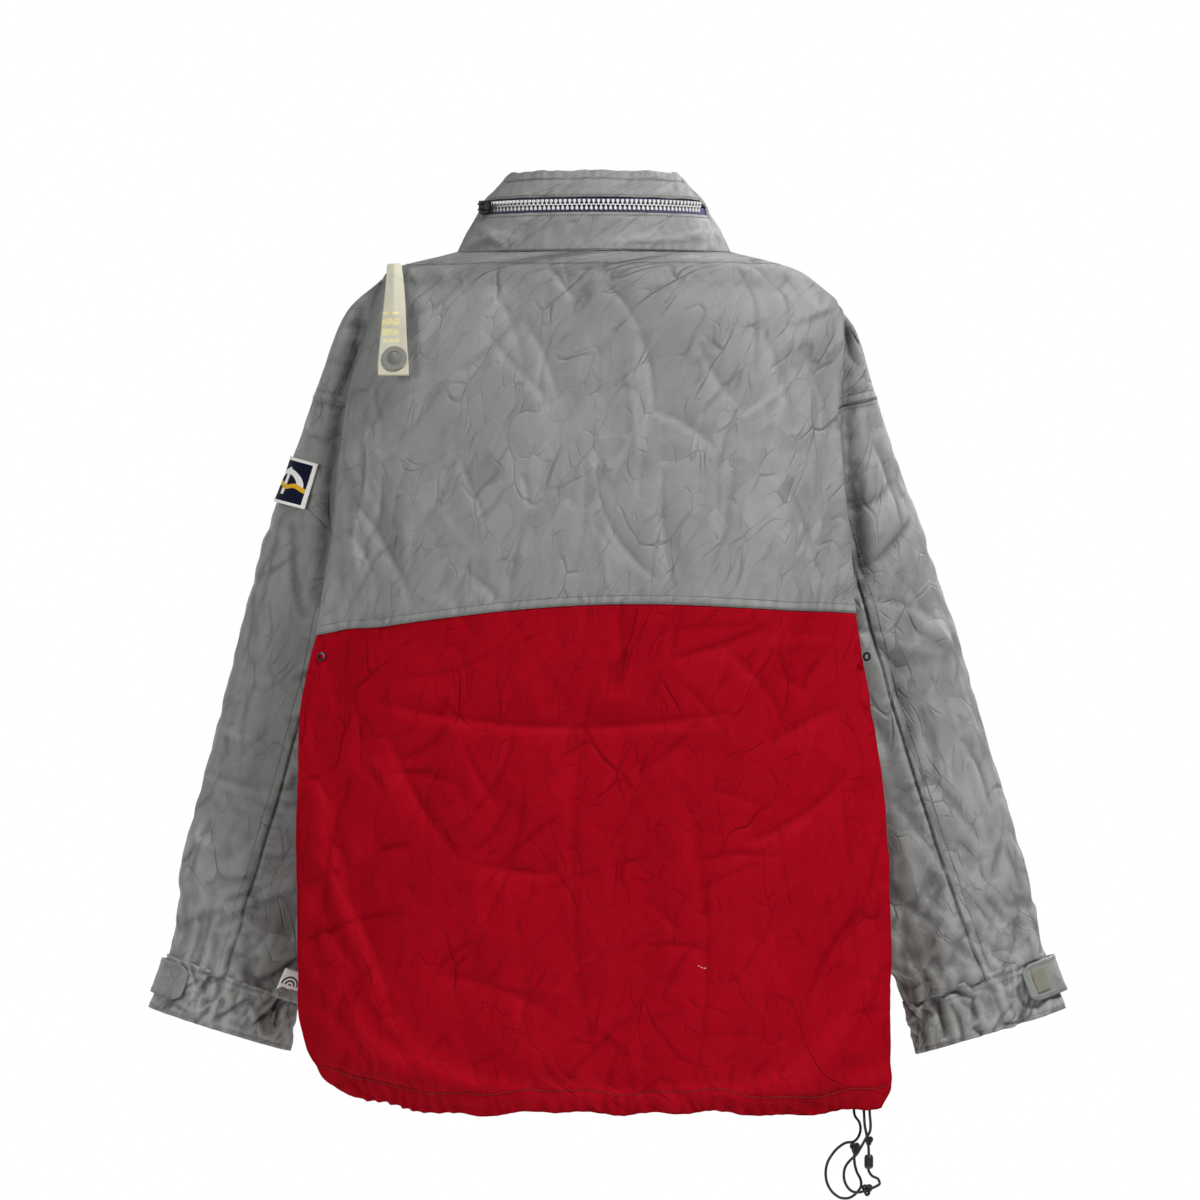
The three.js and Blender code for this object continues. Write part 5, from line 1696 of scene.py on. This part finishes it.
def badge_cloth():
    """Navy badge with a white sewn border, a white sail's curve and a yellow wave."""
    if "sleeve_badge" in bpy.data.materials:
        return bpy.data.materials["sleeve_badge"]
    base = tuple(colours().navy)
    made = cloth_material("sleeve_badge", (0.008, 0.010, 0.030), shifted(base, 2.0), shifted(base, 0.5),
                          0.7, 1100.0, 40.0, 0.1, 0.0, 0.05, 0.05)
    tree, shader = made.node_tree, made.node_tree.nodes["Principled BSDF"]
    before = shader.inputs["Base Color"].links[0].from_socket
    flat = add(tree, "ShaderNodeAttribute")
    flat.attribute_name = "badge_place"
    split = add(tree, "ShaderNodeSeparateXYZ", [(0, flat.outputs["Vector"])])
    edge = math_node(tree, "MAXIMUM", math_node(tree, "ABSOLUTE", split.outputs[0]),
                     math_node(tree, "ABSOLUTE", split.outputs[1]))
    border = math_node(tree, "GREATER_THAN", edge, 0.88)
    centre = add(tree, "ShaderNodeVectorMath", [(0, flat.outputs["Vector"])], operation="SUBTRACT")
    centre.inputs[1].default_value = (0.1, -0.15, 0.0)
    reach = add(tree, "ShaderNodeVectorMath", [(0, centre.outputs[0])], operation="LENGTH")
    ring = math_node(tree, "LESS_THAN",
                     math_node(tree, "ABSOLUTE",
                               math_node(tree, "SUBTRACT", reach.outputs["Value"], 0.58)), 0.11)
    upper = math_node(tree, "GREATER_THAN", split.outputs[1], -0.15)
    mast = math_node(tree, "LESS_THAN",
                     math_node(tree, "ABSOLUTE", math_node(tree, "SUBTRACT", split.outputs[0], 0.1)), 0.08)
    mast = math_node(tree, "MULTIPLY", mast,
                     math_node(tree, "LESS_THAN", math_node(tree, "ABSOLUTE", split.outputs[1]), 0.6))
    white = math_node(tree, "MAXIMUM", math_node(tree, "MULTIPLY", ring, upper), mast)
    wave = math_node(tree, "MULTIPLY",
                     math_node(tree, "SINE", math_node(tree, "MULTIPLY", split.outputs[0], 9.0)), 0.06)
    band = math_node(tree, "LESS_THAN",
                     math_node(tree, "ABSOLUTE",
                               math_node(tree, "ADD", math_node(tree, "ADD", split.outputs[1], 0.2),
                                   wave)), 0.1)
    toned = mix_colour(tree, white, before, tuple(colours().white))
    toned = mix_colour(tree, band, toned, (0.75, 0.42, 0.02))
    toned = mix_colour(tree, border, toned, tuple(colours().white))
    tree.links.new(toned, shader.inputs["Base Color"])
    return made


class JACKET_OT_badge(Operator):
    """Sew the square badge on the left sleeve"""

    bl_idname = "jacket.badge"
    bl_label = "Sleeve badge"

    def execute(self, context):
        patch = Cloth(sleeve_patch("left", 5.45, 6.04, -20, 52, lambda u, v: 2.6 - 0 * u, 40, 48))
        rows, columns = patch.points.shape[:2]
        v, u = np.meshgrid(np.linspace(-1, 1, rows), np.linspace(-1, 1, columns), indexing="ij")
        rim = np.maximum(np.abs(u), np.abs(v))
        patch.emboss(0.7 * ramp(rim, 0.86, 0.92) * (1 - 0.5 * ramp(rim, 0.96, 1.0)) + 0.3
                     * noise(141, u * 3, v * 3))
        piece = sheet_piece("sleeve_badge_cloth", patch.points, badge_cloth(), patch.across, patch.along,
                            patch.shade() * 0.3, 1.4)
        place = piece.data.attributes.new("badge_place", "FLOAT_VECTOR", "POINT")
        place.data.foreach_set("vector", np.stack([u, v, u * 0], axis=-1).ravel().astype(np.float32))
        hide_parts("sleeve_badge")
        bend_with_sleeve(piece)
        cloth_sheet(piece, patch.rest)
        return {"FINISHED"}


def strip(points_low, points_high, rows):
    """Rows of points between two lines."""
    share_of = np.linspace(0, 1, rows)[:, None, None]
    return points_low[None] * (1 - share_of) + points_high[None] * share_of


class JACKET_OT_collar(Operator):
    """Sew the collar, its facing and the hood rolled inside it"""

    bl_idname = "jacket.collar"
    bl_label = "Collar and stowed hood"

    def execute(self, context):
        lines = []
        for part in ("lower", "upper"):
            cloth = once(f"collar_{part}", lambda part=part: collar_cloth(part))
            piece = sheet_piece(f"collar_{part}_cloth", cloth.points, silver_cloth(), cloth.across,
                                cloth.along, cloth.shade(), 1.3)
            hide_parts(f"collar_{part}")
            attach(piece, "torso")
            cloth_sheet(piece, cloth.rest)
            columns = np.arange(2, cloth.points.shape[1] - 3, 1.0)
            last = len(cloth.points) - 1
            rows = (last - 1.0, 0.8) if part == "lower" else (1.2, last - 4.2)
            lines += [seam_lines(cloth, np.full(len(columns), row), columns, 0.2) for row in rows]
        thread = stitches("collar_topstitch", lines, plain_thread("grey_thread", (0.20, 0.20, 0.19)), 2.6)
        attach(thread, "torso")
        start = edge_angle(lambda a: collar_point(np.array(790.0), np.array(a), 14.0), ZIP_EDGE + 8)
        columns = np.linspace(start, math.pi - start, 130)
        heights = np.linspace(759, 824, 22)[:, None]
        cloth = Cloth(collar_point(heights, np.broadcast_to(columns, (22, 130)), 13.5))
        cloth.emboss(-0.6 + 0.5 * crumple(151, cloth.across, cloth.along, 20, 1.6))
        piece = sheet_piece("collar_facing_cloth", cloth.points, lining_cloth(), cloth.across,
                            cloth.along, cloth.shade(), 1.0)
        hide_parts("collar_facing")
        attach(piece, "torso")
        cloth_sheet(piece, cloth.rest)
        self.hood()
        return {"FINISHED"}

    def hood(self):
        """The hood, folded over itself in the collar: three flat layers, each turned back at its edge."""
        angles = np.linspace(math.radians(16), math.pi - math.radians(16), 90)
        up = np.concatenate([np.linspace(770, 820, 14), np.linspace(820, 772, 14),
                             np.linspace(772, 818, 14)])
        inset = np.concatenate([np.full(14, 7.0), np.full(14, 9.0), np.full(14, 11.0)])
        points = np.stack([collar_point(np.full(90, h), angles, i) for h, i in zip(up, inset)])
        cloth = Cloth(points)
        cloth.emboss(0.35 * crumple(152, cloth.across, cloth.along, 18, 1.5))
        piece = sheet_piece("stowed_hood_cloth", cloth.points, silver_cloth(), cloth.across, cloth.along,
                            cloth.shade(), 0.7)
        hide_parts("stowed_hood")
        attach(piece, "torso")
        cloth_sheet(piece, cloth.rest)


def teeth(name, places, material):
    """Moulded zip teeth: each a shank on its tape and a wider head that reaches the middle."""
    bm = bmesh.new()
    for centre, forward, out, toward in places:
        centre, toward, out = np.asarray(centre, float), np.asarray(toward, float), np.asarray(out, float)
        add_block(bm, centre + toward * 1.25, forward, out, (2.3, 2.5, 2.5))
        add_block(bm, centre - toward * 0.75, forward, out, (1.1, 2.0, 2.2))
        add_block(bm, centre - toward * 1.95, forward, out, (1.9, 1.0, 2.4))
    bmesh.ops.bevel(bm, geom=bm.edges[:], offset=0.00022, offset_type="OFFSET", segments=1, profile=0.5,
                    affect="EDGES", material=-1)
    return finished(name, bm, material, smooth=False)


class JACKET_OT_collar_zip(Operator):
    """Fit the coarse zip round the back of the collar"""

    bl_idname = "jacket.collar_zip"
    bl_label = "Collar zip"

    def execute(self, context):
        angles = np.linspace(math.radians(11), math.pi - math.radians(11), 110)
        for part, sign in (("lower", -1), ("upper", 1)):
            for label, near, far, inset, material in (
                ("tape", 0.5, 10.5, 1.9, zip_tape()), ("tape_edge", 6.0, 7.6, 1.5, tape_edge())):
                low, high = (collar_point(np.full(110, CHAIN_HEIGHT + sign * k), angles, inset)
                             for k in (near, far))
                rows = strip(low, high, 6) if sign > 0 else strip(high, low, 6)
                piece = sheet_piece(f"collar_zip_{label}_{part}", rows, material, thick=0.6)
                if label == "tape":
                    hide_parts(f"collar_zip_tape_{part}")
                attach(piece, "torso")
                cloth_sheet(piece, rows)
            dense = np.linspace(math.radians(12), math.pi - math.radians(12), 900)
            line = collar_point(np.full(900, CHAIN_HEIGHT), dense, 0.9)
            along = np.concatenate([[0], np.cumsum(np.linalg.norm(np.diff(line, axis=0), axis=1))])
            pitch = sizes().tooth_pitch / MM
            places = []
            for k in range(int(along[-1] / pitch) - 1):
                at = (k + (0.75 if sign > 0 else 0.25)) * pitch
                centre = np.array([np.interp(at, along, line[:, n]) for n in range(3)])
                ahead = np.array([np.interp(at + 1, along, line[:, n]) for n in range(3)]) - centre
                out = np.cross(ahead, (0, 0, 1.0))
                out = out if out[1] > 0 else -out
                places.append((centre + (0, 0, sign * 2.05), ahead, out, (0, 0, sign)))
            piece = teeth(f"collar_zip_teeth_{part}_set", places,
                          moulded("zip_teeth", (0.40, 0.39, 0.37), 0.35))
            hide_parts(f"collar_zip_teeth_{part}")
            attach(piece, "torso")
        repaint(["collar_zip_slider", "collar_zip_pull"],
                metal("dark_slider_metal", (0.035, 0.033, 0.035), 0.4, 250))
        return {"FINISHED"}


class JACKET_OT_front_zip(Operator):
    """Fit the front zip with its tapes and teeth"""

    bl_idname = "jacket.front_zip"
    bl_label = "Front zip"

    def execute(self, context):
        heights = np.linspace(14, 819, 120)
        for side, sign in SIGN.items():
            edge = [np.stack([np.full(120, sign * k), np.full(120, -57.0), heights], axis=1)
                    for k in (0.6, 15.6)]
            ordered = (edge[1], edge[0]) if sign > 0 else (edge[0], edge[1])
            rows = strip(ordered[0], ordered[1], 7)
            rows = np.swapaxes(rows, 0, 1)[:, ::-1]
            piece = sheet_piece(f"front_zip_tape_cloth_{side}", rows, zip_tape(), thick=0.8)
            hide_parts(f"front_zip_tape_{side}")
            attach(piece, "torso")
            cloth_sheet(piece, rows)
            pitch = sizes().tooth_pitch / MM
            places = []
            for k in range(int(778 / pitch)):
                height = 18 + (k + (0.25 if sign > 0 else 0.75)) * pitch
                places.append(((sign * 2.05, -58.9, height), (0, 0, 1), (0, -1, 0), (sign, 0, 0)))
            piece = teeth(f"front_zip_teeth_{side}_set", places,
                          moulded("zip_teeth", (0.40, 0.39, 0.37), 0.35))
            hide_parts(f"front_zip_teeth_{side}")
            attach(piece, "torso")
        repaint(["front_zip_slider", "front_zip_pull"],
                metal("slider_metal", (0.30, 0.29, 0.28), 0.35, 250))
        return {"FINISHED"}


def edge_stitches(name, cloth, inset, body, closed_top=True):
    """Topstitching round the edge of a flat piece, inset rows and columns from it."""
    rows, columns = cloth.points.shape[0] - 1, cloth.points.shape[1] - 1
    r, c = inset
    lines = []
    for column in (c, columns - c):
        run = np.arange(r, rows - r + 0.01, 1.0)
        lines.append(seam_lines(cloth, run, np.full(len(run), column), 0.25))
    for row in (r, rows - r) if closed_top else (r,):
        run = np.arange(c, columns - c + 0.01, 1.0)
        lines.append(seam_lines(cloth, np.full(len(run), row), run, 0.25))
    thread = stitches(name, lines, plain_thread("grey_thread", (0.20, 0.20, 0.19)))
    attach(thread, body)
    return thread


class JACKET_OT_storm_flap(Operator):
    """Sew the flap that covers the front zip, with its strips and snaps"""

    bl_idname = "jacket.storm_flap"
    bl_label = "Storm flap"

    def execute(self, context):
        path = np.array([(-31.0, -72.2), (-27, -72.9), (-8, -73.2), (14, -73.0), (24, -70.5), (29.5, -63.0)])
        keys = np.concatenate([[0], np.cumsum(np.linalg.norm(np.diff(path, axis=0), axis=1))])
        line = through(keys, path, np.linspace(0, keys[-1], 34))
        heights = np.linspace(12, 770, 300)
        points = np.stack([np.column_stack([line, np.full(34, h)]) for h in heights])
        cloth = Cloth(points)
        a, z = cloth.across, points[..., 2]
        relief = 0.35 * crumple(161, a, z, 22, 2.0, 0.2) + seeded_creases(162, a, z, 90, (10, 45), 80, 30,
            0.9, 2.2)
        relief += 0.8 * noise(163, a / 40, z / 70) * ramp(a, 0, 6)
        cloth.emboss(np.clip(relief, -1.0, 1.3) * ramp(keys[-1] - a, 0, 8))
        split = int(np.searchsorted(heights, waist_line(0)))
        for label, rows, material, slot in (
            ("lower", (0, split + 1), red_cloth(), "red_shell"),
            ("upper", (split, 300), silver_cloth(), "silver_shell"),
        ):
            part = slice(*rows)
            piece = sheet_piece(f"storm_flap_{label}_cloth", cloth.points[part], material,
                                cloth.across[part],
                                cloth.along[part], cloth.shade()[part], 2.0)
            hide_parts("storm_flap")
            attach(piece, "storm_flap")
            cloth_sheet(piece, cloth.rest[part])
        edge_stitches("storm_flap_topstitch", cloth, (2.0, 2.0), "storm_flap")
        for name, body in (("storm_flap_hook_strip", "storm_flap"), ("storm_flap_loop_strip", "torso")):
            low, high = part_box(name)
            y = low[1] / MM
            x = np.linspace(low[0] / MM, high[0] / MM, STRIP_COLUMNS)
            z = np.linspace(120, 700, 110)
            points = np.stack([np.column_stack([x, np.full(STRIP_COLUMNS, y), np.full(STRIP_COLUMNS, h)])
                               for h in z])
            piece = sheet_piece(name + "_tape", points, black_tape(), thick=(high[1] - low[1]) / MM)
            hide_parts(name)
            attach(piece, body)
            cloth_sheet(piece, points)
        caps = ["snap_cap_top", "snap_cap_bottom", "snap_stud_top", "snap_stud_bottom"]
        repaint(caps, metal("snap_metal", tuple(colours().steel), 0.28, 260))
        return {"FINISHED"}


class JACKET_OT_pockets(Operator):
    """Sew the patch pockets and their flaps on the front"""

    bl_idname = "jacket.pockets"
    bl_label = "Pockets"

    def execute(self, context):
        for side, sign in SIGN.items():
            wide, out = np.array([0.9574, sign * 0.2889, 0]), np.array([sign * 0.2889, -0.9574, 0])
            centre = np.array([sign * 107.0, -37.64, 0])

            def placed(u, depth, z):
                return centre + u[..., None] * wide + depth[..., None] * out + z[...,
                    None] * np.array([0, 0, 1.0])

            z, u = np.meshgrid(np.linspace(92, 250, 64), np.linspace(-61, 61, 50), indexing="ij")
            rim = np.minimum(np.minimum(u + 61, 61 - u), z - 92)
            depth = 5.0 + 10.6 * np.sqrt(np.clip(1 - (1 - np.clip(rim / 13, 0, 1)) ** 2, 0, 1))
            cloth = Cloth(placed(u, depth, z))
            relief = 0.5 * crumple(171 if sign > 0 else 172, u, z, 26, 1.6, 0.3)
            relief += seeded_creases(173, u + 61, z, 40, (15, 60), 30, 50, 1.0, 2.6)
            cloth.emboss((relief - 0.6) * ramp(rim, 0, 8) * ramp(250 - z, 0, 10))
            piece = sheet_piece(f"pocket_cloth_{side}", cloth.points, red_cloth(), cloth.across,
                                cloth.along, cloth.shade(), 1.4)
            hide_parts(f"pocket_{side}")
            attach(piece, "torso")
            cloth_sheet(piece, cloth.rest)
            drop = np.linspace(0, 1, 44)
            line_z = np.concatenate([260.5 - 0 * drop[:7], np.linspace(259.8, 198, 37)])
            line_d = np.concatenate([np.linspace(6.5, 16.2, 7), np.full(37, 17.8)])
            z, u = np.meshgrid(line_z, np.linspace(-63, 63, 52), indexing="ij")
            depth = np.repeat(line_d[:, None], 52, axis=1)
            corner = np.clip((np.abs(u) - 53) / 10, 0, 1)
            z = np.where(z < 215, z + (215 - z) / 17 * 6 * corner**2, z)
            flap = Cloth(placed(u, depth, z)[::-1])
            relief = 0.35 * crumple(174 if sign > 0 else 175, flap.across, flap.along, 22, 1.6, -0.3)
            flap.emboss(np.clip(relief, -0.8, 1.0) * ramp(flap.along[-1:] - flap.along, 4, 14))
            piece = sheet_piece(f"pocket_flap_cloth_{side}", flap.points, red_cloth(), flap.across,
                                flap.along, flap.shade(), 1.6)
            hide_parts(f"pocket_flap_{side}")
            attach(piece, f"pocket_flap_{side}")
            cloth_sheet(piece, flap.rest)
            edge_stitches(f"pocket_flap_topstitch_{side}", flap, (2.0, 2.0), f"pocket_flap_{side}",
                          closed_top=False)
        return {"FINISHED"}


class JACKET_OT_strap(Operator):
    """Sew the webbing strap with its eyelet on the left shoulder, and the hanging loop"""

    bl_idname = "jacket.strap"
    bl_label = "Shoulder strap and hanging loop"

    def execute(self, context):
        keys = (0.0, 0.07, 0.17, 0.5, 1.0)
        path = through(keys,
                       np.array([(2.0, 737.0), (9.0, 744.5), (20.0, 738.0), (43.5, 704.0),
                                 (59.5, 646.0)]), np.linspace(0, 1, STRAP_ROWS))
        u = np.linspace(-1, 1, STRAP_COLUMNS)
        wide = 0.34 + 0.66 * np.clip(np.linspace(0, 1, STRAP_ROWS), 0, 0.92) / 0.92
        rows = []
        for (y, z), w, s in zip(path, wide, np.linspace(0, 1, STRAP_ROWS)):
            flat = ramp(s, 0.5, 0.72)
            fold = STRAP_HALF * math.sqrt(max(0.0, 1 - w * w)) * 0.45 * (1 - flat)
            lean = 2.0 * (1 - s) - 1.0 * math.sin(s * 5.0)
            x = STRAP_X + STRAP_HALF * w * u + lean
            rows.append(np.column_stack([x, y + 1.2 - 2.6 * flat + fold * (1 - np.abs(u)) * 0.8,
                np.full(STRAP_COLUMNS, z)]))
        points = np.array(rows)[::-1]
        cloth = Cloth(points)
        cloth.emboss(0.3 * noise(181, cloth.across / 9, cloth.along / 14) * ramp(cloth.along, 24, 34))
        piece = sheet_piece("shoulder_strap_webbing", cloth.points, webbing_cloth(), cloth.across,
                            cloth.along, cloth.shade() * 0.4, 1.5)
        self.punch(piece)
        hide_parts("shoulder_strap")
        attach(piece, "shoulder_strap")
        cloth_sheet(piece, cloth.rest)
        repaint(["strap_eyelet"], metal("eyelet_metal", (0.80, 0.77, 0.70), 0.22, 240))
        turn = np.linspace(0, math.pi, 22)
        line = [(-LOOP_HALF, h, 0.0) for h in (749.0, 753.0, 757.0)]
        arc = [(-LOOP_HALF * math.cos(k), 760.5 + 11.5 * math.sin(k), k) for k in turn]
        whole = [(x, z, 0.0) for x, z, _ in line] + arc + [(-x, z, math.pi) for x, z, _ in line[::-1]]
        u = np.linspace(-3.6, 3.6, STRIP_COLUMNS)
        rows = [np.column_stack([x - u * math.cos(k), np.full(STRIP_COLUMNS, LOOP_Y),
                                 z + u * math.sin(k)]) for x, z, k in whole]
        loop = sheet_piece("hanging_loop_webbing", np.array(rows)[:, ::-1], webbing_cloth(), thick=1.2)
        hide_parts("hanging_loop")
        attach(loop, "hanging_loop")
        cloth_sheet(loop, np.array(rows))
        return {"FINISHED"}

    def punch(self, piece):
        """Cut the hole for the eyelet."""
        low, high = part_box("strap_eyelet")
        centre = (Vector(low) + Vector(high)) / 2
        bm = bmesh.new()
        bm.from_mesh(piece.data)
        near = [f for f in bm.faces if (f.calc_center_median() - centre).length < EYELET_HOLE]
        bmesh.ops.delete(bm, geom=near, context="FACES")
        bm.to_mesh(piece.data)
        bm.free()


# --------------------------------------------------------------------------- the add-on

STEPS = (
    JACKET_OT_stage,
    JACKET_OT_drawcord,
    JACKET_OT_body,
    JACKET_OT_inside,
    JACKET_OT_sleeves,
    JACKET_OT_cuffs,
    JACKET_OT_badge,
    JACKET_OT_collar,
    JACKET_OT_collar_zip,
    JACKET_OT_front_zip,
    JACKET_OT_storm_flap,
    JACKET_OT_pockets,
    JACKET_OT_strap,
)


class JACKET_PT_panel(Panel):
    """The jacket's pieces, one button each"""

    bl_idname = "JACKET_PT_panel"
    bl_label = "Foul Weather Jacket"
    bl_space_type = "VIEW_3D"
    bl_region_type = "UI"
    bl_category = "Jacket"

    def draw(self, context):
        for group_of in (context.scene.jacket_sizes, context.scene.jacket_colours):
            for name in group_of.__annotations__:
                self.layout.prop(group_of, name)
        for step in STEPS:
            self.layout.operator(step.bl_idname)


CLASSES = (JacketSizes, JacketColours, *STEPS, JACKET_PT_panel)


def register():
    for made in CLASSES:
        bpy.utils.register_class(made)
    bpy.types.Scene.jacket_sizes = PointerProperty(type=JacketSizes)
    bpy.types.Scene.jacket_colours = PointerProperty(type=JacketColours)


def unregister():
    del bpy.types.Scene.jacket_colours
    del bpy.types.Scene.jacket_sizes
    for made in reversed(CLASSES):
        bpy.utils.unregister_class(made)


def main():
    register()
    for step in STEPS:
        family, name = step.bl_idname.split(".")
        getattr(getattr(bpy.ops, family), name)()


if __name__ == "__main__":
    main()
